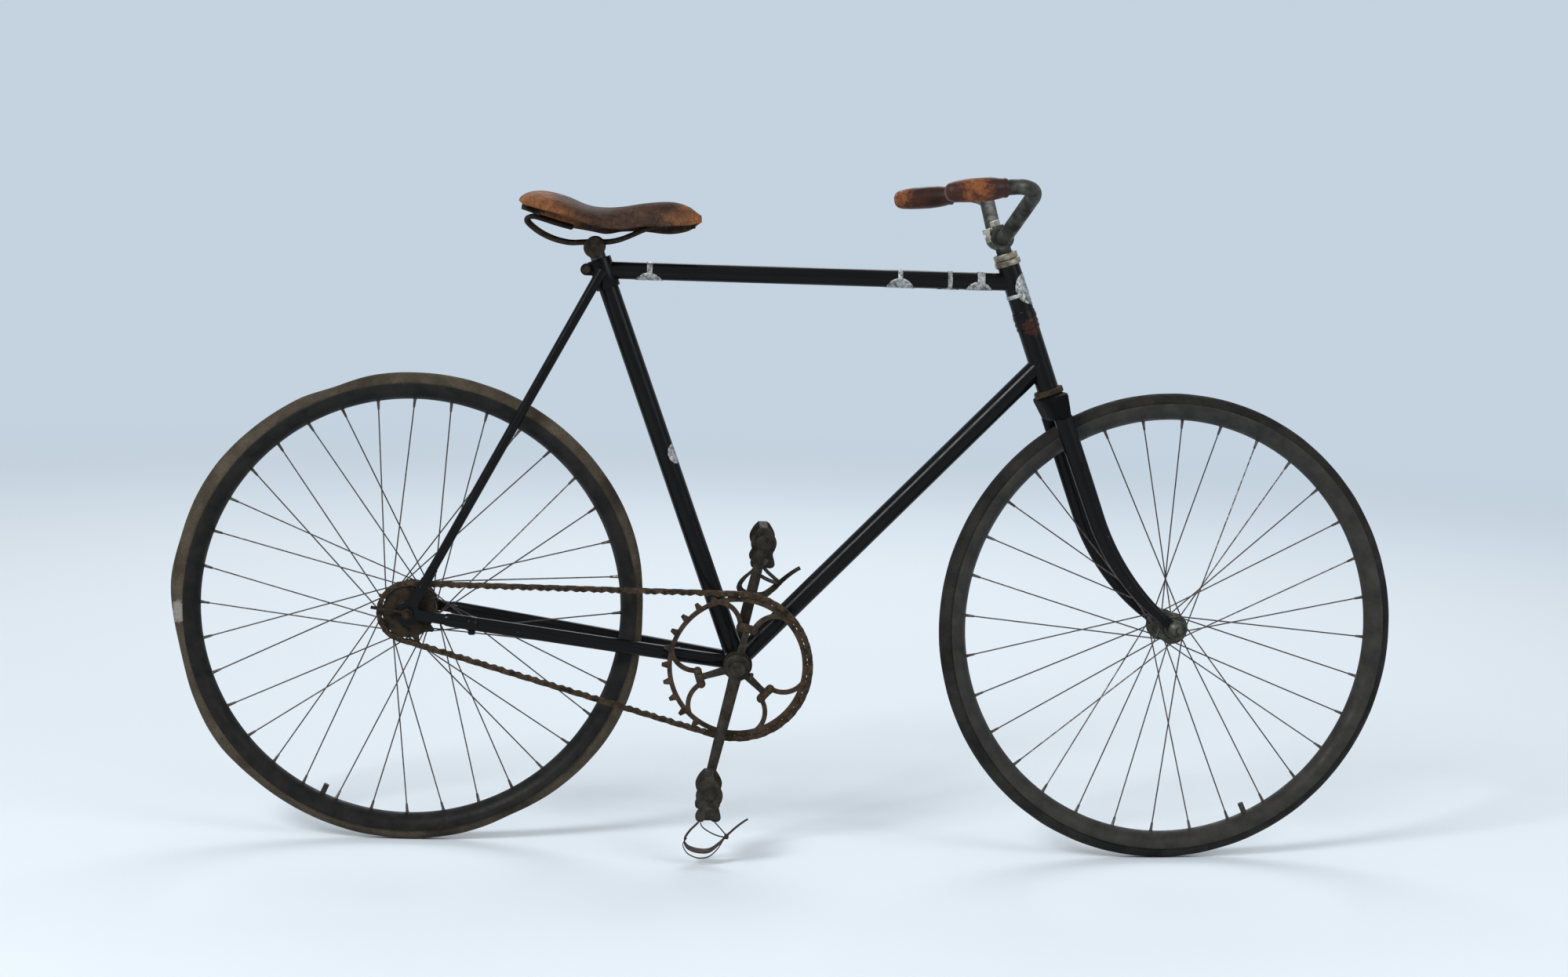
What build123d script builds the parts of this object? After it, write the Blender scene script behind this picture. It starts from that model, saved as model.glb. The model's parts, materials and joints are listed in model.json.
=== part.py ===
"""Antique diamond-frame safety bicycle with a block chain, in millimetres.

+X is forward, +Y is the rider's left and +Z is up. The origin is the seat point on the saddle.
"""
import os
from math import asin, atan, atan2, cos, degrees, pi, radians, sin, tan

from build123d import *

os.makedirs("parts", exist_ok=True)

# Layout of the bicycle: heights are above the ground, reaches are level distances
BRACKET_HEIGHT = 275.0
WHEELBASE = 1106.0
WHEEL_RADIUS = 342.0
HEAD_ANGLE = 70.0
SEAT_ANGLE = 69.6
FORK_RAKE = 62.0
STEER_REST = 8.0
TYRE_ROOM = 65.6
CROWN_ROOM = 8.8
DOWN_TUBE_RISE = 42.0
TOP_TUBE_DROP = 25.0
SEAT_TUBE_STUB = 15.5
POST_RISE = 17.0
SADDLE_RISE = 64.0
SADDLE_SETBACK = 28.0

# Clearances
FIT = 0.05
GAP = 0.3

# Frame tubes
HEAD_LENGTH = 188.0
HEAD_SIZE = 31.8
HEAD_BORE = 28.0
CUP_HEIGHT = 9.5
UPPER_CUP_SIZE = 38.0
LOWER_CUP_SIZE = 43.0
TOP_TUBE_SIZE = 25.4
DOWN_TUBE_SIZE = 28.6
SEAT_TUBE_SIZE = 28.6
SEAT_LUG_SIZE = 35.0
SEAT_LUG_HEIGHT = 44.0
BINDER_EAR_REACH = 23.0
BINDER_EAR_WIDTH = 21.0
BINDER_EAR_HEIGHT = 17.0
BINDER_SLIT = 2.0
BINDER_BOLT_SIZE = 8.0
BINDER_HEAD_SIZE = 13.0
BINDER_HEAD_HEIGHT = 5.0
SHELL_SIZE = 44.0
SHELL_BORE = 28.0
SHELL_WIDTH = 68.0
SHELL_CUP_SIZE = 40.0
SHELL_CUP_WIDTH = 4.0
CUP_EDGE = 1.6
CHAIN_STAY_SIZES = (20.0, 14.0)
CHAIN_STAY_SPREAD = 20.0
SEAT_STAY_SIZES = (15.0, 13.0)
SEAT_STAY_SPREAD = 22.5
BRIDGE_SIZE = 11.0
CHAIN_BRIDGE_SHARE = 0.2
SEAT_BRIDGE_SHARE = 0.33
CLIP_PLACE = 0.9
CLIP_EAR = 9.0
CLIP_EAR_LENGTH = 11.0
CLIP_WALL = 2.0
CLIP_WIDTH = 13.0

# Rear fork ends, axles and bearings
REAR_SPACING = 115.0
FRONT_SPACING = 94.0
END_PLATE = 5.0
END_TONGUE_WIDTH = 15.0
END_EYE_SIZE = 36.0
CHAIN_TONGUE = 66.0
SEAT_TONGUE = 56.0
STAY_LAP = 14.0
AXLE_SIZE = 9.5
AXLE_END_SIZE = 8.0
AXLE_END_LENGTH = 6.0
NUT_SIZE = 17.0
NUT_HEIGHT = 9.0
DOME_NUT_SIZE = 24.0
CONE_SIZE = 17.0
CONE_LENGTH = 6.0
ADJUSTER_LENGTH = 46.0
ADJUSTER_SIZE = 4.8

# Seat post and saddle
POST_SIZE = 22.2
POST_DEPTH = 90.0
POST_ROOM = 30.0
CLAMP_BARREL_SIZE = 26.0
CLAMP_DISC_SIZE = 30.0
CLAMP_DISC_WIDTH = 8.0
CLAMP_BOLT_SIZE = 8.0
RAIL_SIZE = 7.0
RAIL_SPREAD = 25.0
RAIL_NOSE_SPREAD = 9.0
LEATHER_WALL = 4.5
SADDLE_PLATE_WALL = 3.0
SADDLE_TAB_LENGTH = 8.0
SADDLE_CHORDS = 8

# Steering
STEERER_SIZE = 25.4
CROWN_HEIGHT = 34.0
CROWN_LENGTH = 40.0
CROWN_FOOT_LENGTH = 29.0
CROWN_ROUND = 12.0
BLADE_SPREAD = 37.0
BLADE_LAP = 2.0
BLADE_SIZES = (26.0, 16.0)
BLADE_STRAIGHT = 150.0
TIP_LENGTH = 24.0
TIP_WIDTH = 14.0
TIP_EYE_SIZE = 24.0
LOCK_NUT_SIZE = 36.0
LOCK_NUT_HEIGHT = 9.0
STEM_SIZE = 22.2
STEM_DEPTH = 60.0
BAR_SIZE = 22.0
BAR_RISE = 32.0
BAR_LUG_SIZE = 33.0
BAR_LUG_WIDTH = 38.0
STEM_CAP = 2.0
STEM_BOLT_SIZE = 15.0
STEM_BOLT_HEIGHT = 8.0
GRIP_LENGTH = 80.0
GRIP_CAP = 4.0

# Wheels
TYRE_SIZE = 32.0
TYRE_SIDES = 8
RIM_DEPTH = 22.5
FRONT_SPOKES = 32
REAR_SPOKES = 36
SPOKE_SIZE = 2.0
SPOKE_INSET = 4.0
HUB_WALL = 3.0
HUB_PLAY = 1.0
VALVE_SIZE = 8.0
VALVE_LENGTH = 14.0

# Drive
CHAIN_PITCH = 25.4
CHAIN_LINE = 47.0
RING_TEETH = 26
COG_TEETH = 10
TOOTH_WIDTH = 3.0
TOOTH_HEIGHT = 8.0
TOOTH_ROOM = 1.0
TOOTH_BASE = 11.0
TOOTH_TIP = 5.0
TOOTH_FOOT = 2.0
RING_RIM = 7.0
BRANCH_WIDTH = 7.0
BRANCH_FOOT = 3.0
LOCK_RING_WALL = 5.0
LOCK_RING_WIDTH = 2.0
BLOCK_LENGTH = 15.0
BLOCK_HEIGHT = 8.0
BLOCK_WIDTH = 8.0
PLATE_LENGTH = 20.0
PLATE_HEIGHT = 7.0
PLATE_WALL = 1.5
CRANK_LENGTH = 170.0
CRANK_ANGLE = 257.5
CRANK_AXLE_SIZE = 16.0
BOSS_FACE = 41.0
CRANK_FACE = 57.5
CRANK_THICKNESS = 13.0
CRANK_BOSS_SIZE = 36.0
CRANK_EYE_SIZE = 26.0
CRANK_WIDTHS = (22.0, 17.0)
ARM_LENGTH = 57.0
ARM_WIDTH = 12.0
ARM_BAR_LENGTH = 31.0
ARM_WALL = 3.5
CRANK_NUT_SIZE = 22.0
CRANK_NUT_HEIGHT = 7.0
PEDAL_SPINDLE_SIZE = 9.0
PEDAL_GAP = 6.0
PEDAL_WIDTH = 84.0
PEDAL_DEPTH = 74.0
PEDAL_CAGE_HEIGHT = 24.0
PEDAL_CAGE_WALL = 2.5
PEDAL_ARM_WIDTH = 11.0
PEDAL_BOSS_SIZE = 25.0
PEDAL_BARREL_SIZE = 22.0
PEDAL_TEETH = 7
PEDAL_TOOTH_PITCH = 10.0
PEDAL_TOOTH_SIZE = 4.5
TOE_CLIP_WIDTH = 16.0
TOE_CLIP_WALL = 1.6
TOE_STRAP_WIDTH = 5.0
TOE_STRAP_SPREAD = 20.0
TOE_PIN_SIZE = 4.0

# Reaches and heights that follow from the layout
AXLE_RISE = WHEEL_RADIUS - BRACKET_HEIGHT
SEAT_TUBE_REACH = WHEEL_RADIUS + TYRE_ROOM + SEAT_TUBE_SIZE / 2
REAR_REACH = (SEAT_TUBE_REACH + AXLE_RISE * cos(radians(SEAT_ANGLE))) / sin(radians(SEAT_ANGLE))
CROWN_TOP = -CUP_HEIGHT / 2 - GAP
CROWN_FOOT = CROWN_TOP - CROWN_HEIGHT
FORK_DROP = ((WHEEL_RADIUS + CROWN_ROOM) ** 2 - FORK_RAKE ** 2) ** 0.5 - CROWN_FOOT
AXIS_FOOT_HEIGHT = WHEEL_RADIUS - FORK_RAKE * cos(radians(HEAD_ANGLE))
LOWER_CUP_HEIGHT = AXIS_FOOT_HEIGHT + FORK_DROP * sin(radians(HEAD_ANGLE))
TOP_TUBE_HEIGHT = LOWER_CUP_HEIGHT + (CUP_HEIGHT / 2 + HEAD_LENGTH - TOP_TUBE_DROP) * sin(radians(HEAD_ANGLE))
SEAT_TUBE_TOP = TOP_TUBE_HEIGHT + SEAT_TUBE_STUB
CLAMP_HEIGHT = SEAT_TUBE_TOP + POST_RISE
SEAT_HEIGHT = CLAMP_HEIGHT + SADDLE_RISE
SEAT_SETBACK = (CLAMP_HEIGHT - BRACKET_HEIGHT) / tan(radians(SEAT_ANGLE)) + SADDLE_SETBACK

LEFT = Vector(0, 1, 0)
SIDES = (("right", -1), ("left", 1))


def place(ahead, left, height):
    """Point given ahead of the bracket, to the left and above the ground."""
    return Vector(SEAT_SETBACK + ahead, left, height - SEAT_HEIGHT)


def core(start, end, size):
    """Plain rod between two points, used to fit one tube against another."""
    return Plane(origin=start, z_dir=end - start).location * Cylinder(
        size / 2, (end - start).length, align=(Align.CENTER, Align.CENTER, Align.MIN), mode=Mode.PRIVATE)


def taper(start, end, sizes):
    """Tapered rod between two points."""
    return Plane(origin=start, z_dir=end - start).location * Cone(
        sizes[0] / 2, sizes[1] / 2, (end - start).length, align=(Align.CENTER, Align.CENTER, Align.MIN),
        mode=Mode.PRIVATE)


def side_plane(centre, right):
    """Side-view plane through a point, moved to the right: ahead is its x and up is its y."""
    return Plane(origin=centre - LEFT * right, x_dir=(1, 0, 0), z_dir=(0, -1, 0))


def write(piece, label):
    """Name a finished piece and write its file."""
    piece.part.label = label
    export_step(piece.part, f"parts/{label}.step")


BRACKET = place(0, 0, BRACKET_HEIGHT)
REAR_AXLE = place(-REAR_REACH, 0, WHEEL_RADIUS)
SEAT_UP = Vector(-cos(radians(SEAT_ANGLE)), 0, sin(radians(SEAT_ANGLE)))
HEAD_UP = Vector(-cos(radians(HEAD_ANGLE)), 0, sin(radians(HEAD_ANGLE)))
HEAD_AHEAD = Vector(sin(radians(HEAD_ANGLE)), 0, cos(radians(HEAD_ANGLE)))
AXIS_FOOT = place(WHEELBASE - REAR_REACH, 0, WHEEL_RADIUS) - HEAD_AHEAD * FORK_RAKE
LOWER_CUP = AXIS_FOOT + HEAD_UP * FORK_DROP
STEER = Plane(
    origin=LOWER_CUP,
    x_dir=HEAD_AHEAD * cos(radians(STEER_REST)) + LEFT * sin(radians(STEER_REST)),
    z_dir=HEAD_UP)


def along(start, direction, height):
    """Point on a slanted line at a height above the ground."""
    return start + direction * ((height - SEAT_HEIGHT - start.Z) / direction.Z)


def turned(x, y, z):
    """Point given in the steering frame: ahead of, left of and up the steering axis."""
    return STEER.from_local_coords(Vector(x, y, z))


def turned_plane(origin, x_dir, z_dir):
    """Sketch plane given in the steering frame."""
    return Plane(
        origin=turned(*origin),
        x_dir=turned(*x_dir) - STEER.origin,
        z_dir=turned(*z_dir) - STEER.origin)


def head_plane(height):
    """Plane square to the head tube, a distance up from the lower cup."""
    return Plane(origin=LOWER_CUP + HEAD_UP * height, z_dir=HEAD_UP)


# Head tube and its bearing cups
with BuildPart() as head_tube:
    with BuildSketch(head_plane(CUP_HEIGHT / 2)):
        Circle(HEAD_SIZE / 2)
        Circle(HEAD_BORE / 2, mode=Mode.SUBTRACT)
    extrude(amount=HEAD_LENGTH)
write(head_tube, "head_tube")

CUPS = (("upper", HEAD_LENGTH + CUP_HEIGHT / 2, UPPER_CUP_SIZE), ("lower", -CUP_HEIGHT / 2, LOWER_CUP_SIZE))
for end, foot, size in CUPS:
    with BuildPart() as head_cup:
        with BuildSketch(head_plane(foot)):
            Circle(size / 2)
            Circle(STEERER_SIZE / 2 + FIT, mode=Mode.SUBTRACT)
        extrude(amount=CUP_HEIGHT)
        outer = head_cup.edges().filter_by(GeomType.CIRCLE).sort_by(SortBy.RADIUS)[-2:]
        chamfer(outer, length=CUP_EDGE)
    write(head_cup, f"head_cup_{end}")

# Bracket shell and its cups
with BuildPart() as bracket_shell:
    with BuildSketch(side_plane(BRACKET, -SHELL_WIDTH / 2)):
        Circle(SHELL_SIZE / 2)
        Circle(SHELL_BORE / 2, mode=Mode.SUBTRACT)
    extrude(amount=SHELL_WIDTH)
write(bracket_shell, "bracket_shell")

with BuildPart() as bracket_cups:
    for name, side in SIDES:
        with BuildSketch(Plane(origin=BRACKET + LEFT * side * SHELL_WIDTH / 2, z_dir=LEFT * side)):
            Circle(SHELL_CUP_SIZE / 2)
            Circle(CRANK_AXLE_SIZE / 2 + FIT, mode=Mode.SUBTRACT)
        extrude(amount=SHELL_CUP_WIDTH)
write(bracket_cups, "bracket_cups")

# Main tubes, each shaped to the tube that it meets
SEAT_TOP = along(BRACKET, SEAT_UP, SEAT_TUBE_TOP)
SEAT_JOINT = along(BRACKET, SEAT_UP, TOP_TUBE_HEIGHT)
TOP_JOINT = along(LOWER_CUP, HEAD_UP, TOP_TUBE_HEIGHT)
DOWN_JOINT = LOWER_CUP + HEAD_UP * DOWN_TUBE_RISE
LUG_FOOT = SEAT_TOP - SEAT_UP * SEAT_LUG_HEIGHT
shell_core = core(BRACKET - LEFT * SHELL_WIDTH, BRACKET + LEFT * SHELL_WIDTH, SHELL_SIZE)
head_core = core(LOWER_CUP, LOWER_CUP + HEAD_UP * (HEAD_LENGTH + CUP_HEIGHT), HEAD_SIZE)
seat_core = core(BRACKET, SEAT_TOP, SEAT_TUBE_SIZE)
lug_core = core(LUG_FOOT, SEAT_TOP, SEAT_LUG_SIZE)

with BuildPart() as seat_tube:
    add(seat_core)
    add(shell_core, mode=Mode.SUBTRACT)
    with BuildSketch(Plane(origin=SEAT_TOP, z_dir=SEAT_UP)):
        Circle(POST_SIZE / 2)
    extrude(amount=-POST_DEPTH - POST_ROOM, mode=Mode.SUBTRACT)
write(seat_tube, "seat_tube")

with BuildPart() as top_tube:
    add(core(SEAT_JOINT, TOP_JOINT, TOP_TUBE_SIZE))
    add(head_core, mode=Mode.SUBTRACT)
    add(lug_core, mode=Mode.SUBTRACT)
write(top_tube, "top_tube")

with BuildPart() as down_tube:
    add(core(BRACKET, DOWN_JOINT, DOWN_TUBE_SIZE))
    add(head_core, mode=Mode.SUBTRACT)
    add(shell_core, mode=Mode.SUBTRACT)
    add(seat_core, mode=Mode.SUBTRACT)
write(down_tube, "down_tube")

# Seat lug with its split ears and binder bolt
EAR_MIDDLE = SEAT_JOINT - Vector(BINDER_EAR_REACH, 0, 0)
SLIT_LENGTH = BINDER_EAR_REACH - SEAT_TUBE_SIZE / 2 + BINDER_EAR_HEIGHT
HALF_EAR = LEFT * BINDER_EAR_WIDTH / 2
with BuildPart() as seat_lug:
    add(lug_core)
    with BuildSketch(side_plane(EAR_MIDDLE, -BINDER_EAR_WIDTH / 2)):
        Circle(BINDER_EAR_HEIGHT / 2)
        Rectangle(BINDER_EAR_REACH, BINDER_EAR_HEIGHT, align=(Align.MIN, Align.CENTER))
    extrude(amount=BINDER_EAR_WIDTH)
    add(seat_core, mode=Mode.SUBTRACT)
    with BuildSketch(side_plane(EAR_MIDDLE, -BINDER_SLIT / 2)):
        Rectangle(2 * SLIT_LENGTH, 2 * SEAT_LUG_HEIGHT)
    extrude(amount=BINDER_SLIT, mode=Mode.SUBTRACT)
    add(core(EAR_MIDDLE - HALF_EAR, EAR_MIDDLE + HALF_EAR, BINDER_BOLT_SIZE), mode=Mode.SUBTRACT)
write(seat_lug, "seat_lug")

with BuildPart() as binder_bolt:
    add(core(EAR_MIDDLE - HALF_EAR, EAR_MIDDLE + HALF_EAR, BINDER_BOLT_SIZE))
    for name, side in SIDES:
        with BuildSketch(Plane(origin=EAR_MIDDLE + HALF_EAR * side, z_dir=LEFT * side)):
            RegularPolygon(BINDER_HEAD_SIZE / 2, 6)
        extrude(amount=BINDER_HEAD_HEIGHT)
write(binder_bolt, "binder_bolt")

# Rear fork ends with their axle slots and stay tongues
STAY_DIR = (BRACKET - REAR_AXLE).normalized()
SEAT_STAY_DIR = (SEAT_JOINT - REAR_AXLE).normalized()
END_INNER = REAR_SPACING / 2
END_MIDDLE = END_INNER + END_PLATE / 2
with BuildPart() as rear_fork_ends:
    for name, side in SIDES:
        with BuildSketch(side_plane(REAR_AXLE, -side * END_MIDDLE - END_PLATE / 2)):
            Circle(END_EYE_SIZE / 2)
            for tongue, direction in ((CHAIN_TONGUE, STAY_DIR), (SEAT_TONGUE, SEAT_STAY_DIR)):
                slant = degrees(atan2(direction.Z, direction.X))
                with Locations(Location((0, 0, 0), (0, 0, slant))):
                    Rectangle(tongue, END_TONGUE_WIDTH, align=(Align.MIN, Align.CENTER))
            with Locations(Location((0, 0, 0), (0, 0, degrees(atan2(STAY_DIR.Z, STAY_DIR.X))))):
                with Locations((-END_EYE_SIZE / 2, 0)):
                    SlotOverall(END_EYE_SIZE + AXLE_SIZE, AXLE_SIZE, mode=Mode.SUBTRACT)
        extrude(amount=END_PLATE)
write(rear_fork_ends, "rear_fork_ends")

# Chain stays and seat stays, slotted over the tongues of the fork ends
stay_cores = {}
stay_axes = {}
seat_cores = {}
seat_axes = {}
for name, side in SIDES:
    chain_end = REAR_AXLE + STAY_DIR * (CHAIN_TONGUE - STAY_LAP) + LEFT * side * END_MIDDLE
    seat_end = REAR_AXLE + SEAT_STAY_DIR * (SEAT_TONGUE - STAY_LAP) + LEFT * side * END_MIDDLE
    stay_axes[side] = (BRACKET + LEFT * side * CHAIN_STAY_SPREAD, chain_end)
    stay_cores[side] = taper(*stay_axes[side], CHAIN_STAY_SIZES)
    with BuildPart() as chain_stay:
        add(stay_cores[side])
        add(shell_core, mode=Mode.SUBTRACT)
        add(seat_core, mode=Mode.SUBTRACT)
        add(rear_fork_ends.part, mode=Mode.SUBTRACT)
    write(chain_stay, f"chain_stay_{name}")
    seat_axes[side] = (SEAT_JOINT + LEFT * side * SEAT_STAY_SPREAD, seat_end)
    seat_cores[side] = taper(*seat_axes[side], SEAT_STAY_SIZES)
    with BuildPart() as seat_stay:
        add(seat_cores[side])
        add(lug_core, mode=Mode.SUBTRACT)
        add(rear_fork_ends.part, mode=Mode.SUBTRACT)
    write(seat_stay, f"seat_stay_{name}")

CLIP_MIDDLE = stay_axes[-1][0] + (stay_axes[-1][1] - stay_axes[-1][0]) * CLIP_PLACE
CLIP_DIR = (stay_axes[-1][1] - stay_axes[-1][0]).normalized() * CLIP_WIDTH / 2
with BuildPart() as stay_clip:
    add(core(CLIP_MIDDLE - CLIP_DIR, CLIP_MIDDLE + CLIP_DIR, CHAIN_STAY_SIZES[0] + 2 * CLIP_WALL))
    with BuildSketch(side_plane(CLIP_MIDDLE, -CLIP_EAR / 2)):
        Rectangle(CLIP_EAR_LENGTH, CHAIN_STAY_SIZES[0] + CLIP_EAR, align=(Align.CENTER, Align.MAX))
    extrude(amount=CLIP_EAR)
    add(stay_cores[-1], mode=Mode.SUBTRACT)
write(stay_clip, "stay_clip")

# Bridges between the stays, ahead of the tyre and above it
BRIDGES = ((stay_axes[1], CHAIN_BRIDGE_SHARE, stay_cores), (seat_axes[1], SEAT_BRIDGE_SHARE, seat_cores))
with BuildPart() as stay_bridges:
    for (start, end), share, stays in BRIDGES:
        left_end = start + (end - start) * share
        add(core(left_end, left_end - LEFT * 2 * left_end.Y, BRIDGE_SIZE))
        for stay in stays.values():
            add(stay, mode=Mode.SUBTRACT)
write(stay_bridges, "stay_bridges")


# Axles with their cones, and the nuts outside the fork ends
def axle_set(name, centre, left, spacing, dome):
    """Axle with fixed cones, and a node with its two nuts."""
    seat = spacing / 2 + END_PLATE
    shoulder = seat + NUT_HEIGHT
    tip = shoulder + AXLE_END_LENGTH
    cone = spacing / 2 - CONE_LENGTH
    with BuildPart() as axle:
        add(core(centre - left * shoulder, centre + left * shoulder, AXLE_SIZE))
        add(core(centre - left * tip, centre + left * tip, AXLE_END_SIZE))
        for side in (-1, 1):
            add(core(centre + left * side * cone, centre + left * side * spacing / 2, CONE_SIZE))
    write(axle, f"{name}_axle")
    with BuildPart() as nuts:
        for side in (-1, 1):
            with BuildSketch(Plane(origin=centre + left * side * seat, z_dir=left * side)):
                if dome:
                    Circle(DOME_NUT_SIZE / 2)
                else:
                    RegularPolygon(NUT_SIZE / 2, 6)
                Circle(AXLE_SIZE / 2, mode=Mode.SUBTRACT)
            extrude(amount=NUT_HEIGHT)
    write(nuts, f"{name}_axle_nuts")


axle_set("rear", REAR_AXLE, LEFT, REAR_SPACING, False)

# Chain adjusters: an eye on the axle outside each fork end, with a screw to the rear
with BuildPart() as chain_adjusters:
    for name, side in SIDES:
        start = REAR_AXLE - STAY_DIR * (AXLE_SIZE / 2 + ADJUSTER_SIZE / 2) + LEFT * side * END_MIDDLE
        add(core(start, start - STAY_DIR * ADJUSTER_LENGTH, ADJUSTER_SIZE))
write(chain_adjusters, "chain_adjusters")

# Seat post and saddle clamp
CLAMP = along(BRACKET, SEAT_UP, CLAMP_HEIGHT)
DISC_FACE = RAIL_SPREAD + RAIL_SIZE / 2
barrel_core = core(CLAMP - LEFT * (RAIL_SPREAD - RAIL_SIZE / 2), CLAMP + LEFT * (RAIL_SPREAD - RAIL_SIZE / 2),
                   CLAMP_BARREL_SIZE)
with BuildPart() as seat_post:
    add(core(SEAT_TOP - SEAT_UP * POST_DEPTH, CLAMP, POST_SIZE))
    add(barrel_core, mode=Mode.SUBTRACT)
write(seat_post, "seat_post")

with BuildPart() as saddle_clamp:
    add(barrel_core)
    add(core(CLAMP - LEFT * (DISC_FACE + CLAMP_DISC_WIDTH), CLAMP + LEFT * (DISC_FACE + CLAMP_DISC_WIDTH),
             CLAMP_BOLT_SIZE))
    for name, side in SIDES:
        add(core(CLAMP + LEFT * side * DISC_FACE, CLAMP + LEFT * side * (DISC_FACE + CLAMP_DISC_WIDTH),
                 CLAMP_DISC_SIZE))
write(saddle_clamp, "saddle_clamp")

# Saddle leather, its end plates and its wire rails, measured from the seat point
# columns: ahead, half width, top, edge
SADDLE_SECTIONS = (
    (-75, 70, 3, -12),
    (-48, 92, 10, -20),
    (0, 80, 0, -34),
    (45, 48, -9, -42),
    (90, 28, -6, -37),
    (140, 24, -0.5, -41),
    (172, 12, -15, -33),
)


def arch_points(half, rise, edge):
    """Chords of a half oval that stands on the saddle's edge."""
    turns = [pi * i / SADDLE_CHORDS for i in range(SADDLE_CHORDS + 1)]
    return [(-half * cos(turn), edge + rise * sin(turn)) for turn in turns]


def arch_shell(sections, inset, wall):
    """Thin arched shell through the saddle sections, a depth below the outer skin."""
    depth = inset + wall
    with BuildPart() as shell:
        for ahead, half, top, edge in sections:
            outer = arch_points(half - inset, top - edge - inset, edge)
            inner = arch_points(half - depth, top - edge - depth, edge)
            with BuildSketch(Plane.YZ.offset(ahead)):
                Polygon(*outer, *reversed(inner), align=None)
        loft(ruled=True)
    return shell.part


with BuildPart() as saddle_leather:
    add(arch_shell(SADDLE_SECTIONS, 0, LEATHER_WALL))
write(saddle_leather, "saddle_leather")

RAIL_HEIGHT = CLAMP.Z + CLAMP_BOLT_SIZE / 2 + RAIL_SIZE / 2
# columns: ahead, left, up, bend radius
RAIL_ROUTE = (
    (150, RAIL_NOSE_SPREAD, -22, 0),
    (96, 14, -40, 30),
    (CLAMP.X + 24, RAIL_SPREAD, RAIL_HEIGHT, 25),
    (CLAMP.X - 30, RAIL_SPREAD, RAIL_HEIGHT, 40),
    (-70, RAIL_SPREAD, -36, 6),
    (-66, RAIL_SPREAD, -20, 6),
    (-4, RAIL_SPREAD, -36, 0),
)
with BuildPart() as saddle_rails:
    for name, side in SIDES:
        rail_points = [(ahead, side * left, up) for ahead, left, up, bend in RAIL_ROUTE]
        with BuildLine() as route:
            FilletPolyline(*rail_points, radius=[row[3] for row in RAIL_ROUTE[1:-1]])
        with BuildSketch(Plane(origin=route.line @ 0, z_dir=route.line % 0)):
            Circle(RAIL_SIZE / 2)
        sweep()
write(saddle_rails, "saddle_rails")

# End plates under the leather, with tabs down to the rails
# columns: ahead, left, top, bottom, width
SADDLE_TABS = (
    (146, 0, -13.5, -28, 2 * RAIL_NOSE_SPREAD),
    (-56, RAIL_SPREAD, -0.8, -21, RAIL_SIZE),
    (-56, -RAIL_SPREAD, -0.8, -21, RAIL_SIZE),
)
with BuildPart() as saddle_plates:
    for sections in (SADDLE_SECTIONS[:2], SADDLE_SECTIONS[-2:]):
        add(arch_shell(sections, LEATHER_WALL + GAP, SADDLE_PLATE_WALL))
    for ahead, left, top, bottom, width in SADDLE_TABS:
        with BuildSketch(Plane(origin=(ahead, left, bottom))):
            Rectangle(SADDLE_TAB_LENGTH, width)
        extrude(amount=top - bottom)
    add(saddle_rails.part, mode=Mode.SUBTRACT)
write(saddle_plates, "saddle_plates")

# Fork crown with its steerer, in the steering frame
HEAD_TOP = CUP_HEIGHT / 2 + HEAD_LENGTH + CUP_HEIGHT
NUT_FOOT = HEAD_TOP + GAP
STEERER_TOP = NUT_FOOT + LOCK_NUT_HEIGHT
BAR_HEIGHT = HEAD_TOP + BAR_RISE
STEM_FOOT = turned(0, 0, HEAD_TOP - STEM_DEPTH)
CROWN_WIDTH = 2 * BLADE_SPREAD + BLADE_SIZES[0]
with BuildPart() as fork_crown:
    for height, length in ((CROWN_FOOT, CROWN_FOOT_LENGTH), (CROWN_TOP, CROWN_LENGTH)):
        with BuildSketch(turned_plane((0, 0, height), (1, 0, 0), (0, 0, 1))):
            RectangleRounded(length, CROWN_WIDTH, CROWN_ROUND)
    loft()
    add(core(turned(0, 0, CROWN_TOP), turned(0, 0, STEERER_TOP), STEERER_SIZE))
    add(core(STEM_FOOT, turned(0, 0, STEERER_TOP), STEM_SIZE), mode=Mode.SUBTRACT)
write(fork_crown, "fork_crown")

with BuildPart() as lock_nut:
    with BuildSketch(turned_plane((0, 0, NUT_FOOT), (1, 0, 0), (0, 0, 1))):
        RegularPolygon(LOCK_NUT_SIZE / 2, 8)
        Circle(STEERER_SIZE / 2, mode=Mode.SUBTRACT)
    extrude(amount=LOCK_NUT_HEIGHT)
write(lock_nut, "lock_nut")

# Fork blades: a straight taper and an arc to the axle, ending in slotted tips
TIP_MIDDLE = FRONT_SPACING / 2 + END_PLATE / 2
BLADE_DROP = FORK_DROP + CROWN_FOOT
BLADE_RUN = (BLADE_DROP ** 2 + (TIP_MIDDLE - BLADE_SPREAD) ** 2) ** 0.5
BEND_RUN = BLADE_RUN - BLADE_STRAIGHT
BEND_RADIUS = (FORK_RAKE ** 2 + BEND_RUN ** 2) / (2 * FORK_RAKE)
BEND_TURN = 2 * atan(FORK_RAKE / BEND_RUN) - TIP_LENGTH / BEND_RADIUS
FRONT_AXLE = turned(FORK_RAKE, 0, -FORK_DROP)
STEER_LEFT = STEER.y_dir


def blade_point(side, ahead, run):
    """Point in the plane of one blade: ahead of its straight line and down along it."""
    share = run / BLADE_RUN
    spread = BLADE_SPREAD + (TIP_MIDDLE - BLADE_SPREAD) * share
    return turned(ahead, side * spread, CROWN_FOOT - BLADE_DROP * share)


def bend_point(side, turn):
    """Point on the bend of one blade, by the angle turned from the straight."""
    return blade_point(side, BEND_RADIUS * (1 - cos(turn)), BLADE_STRAIGHT + BEND_RADIUS * sin(turn))


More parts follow.
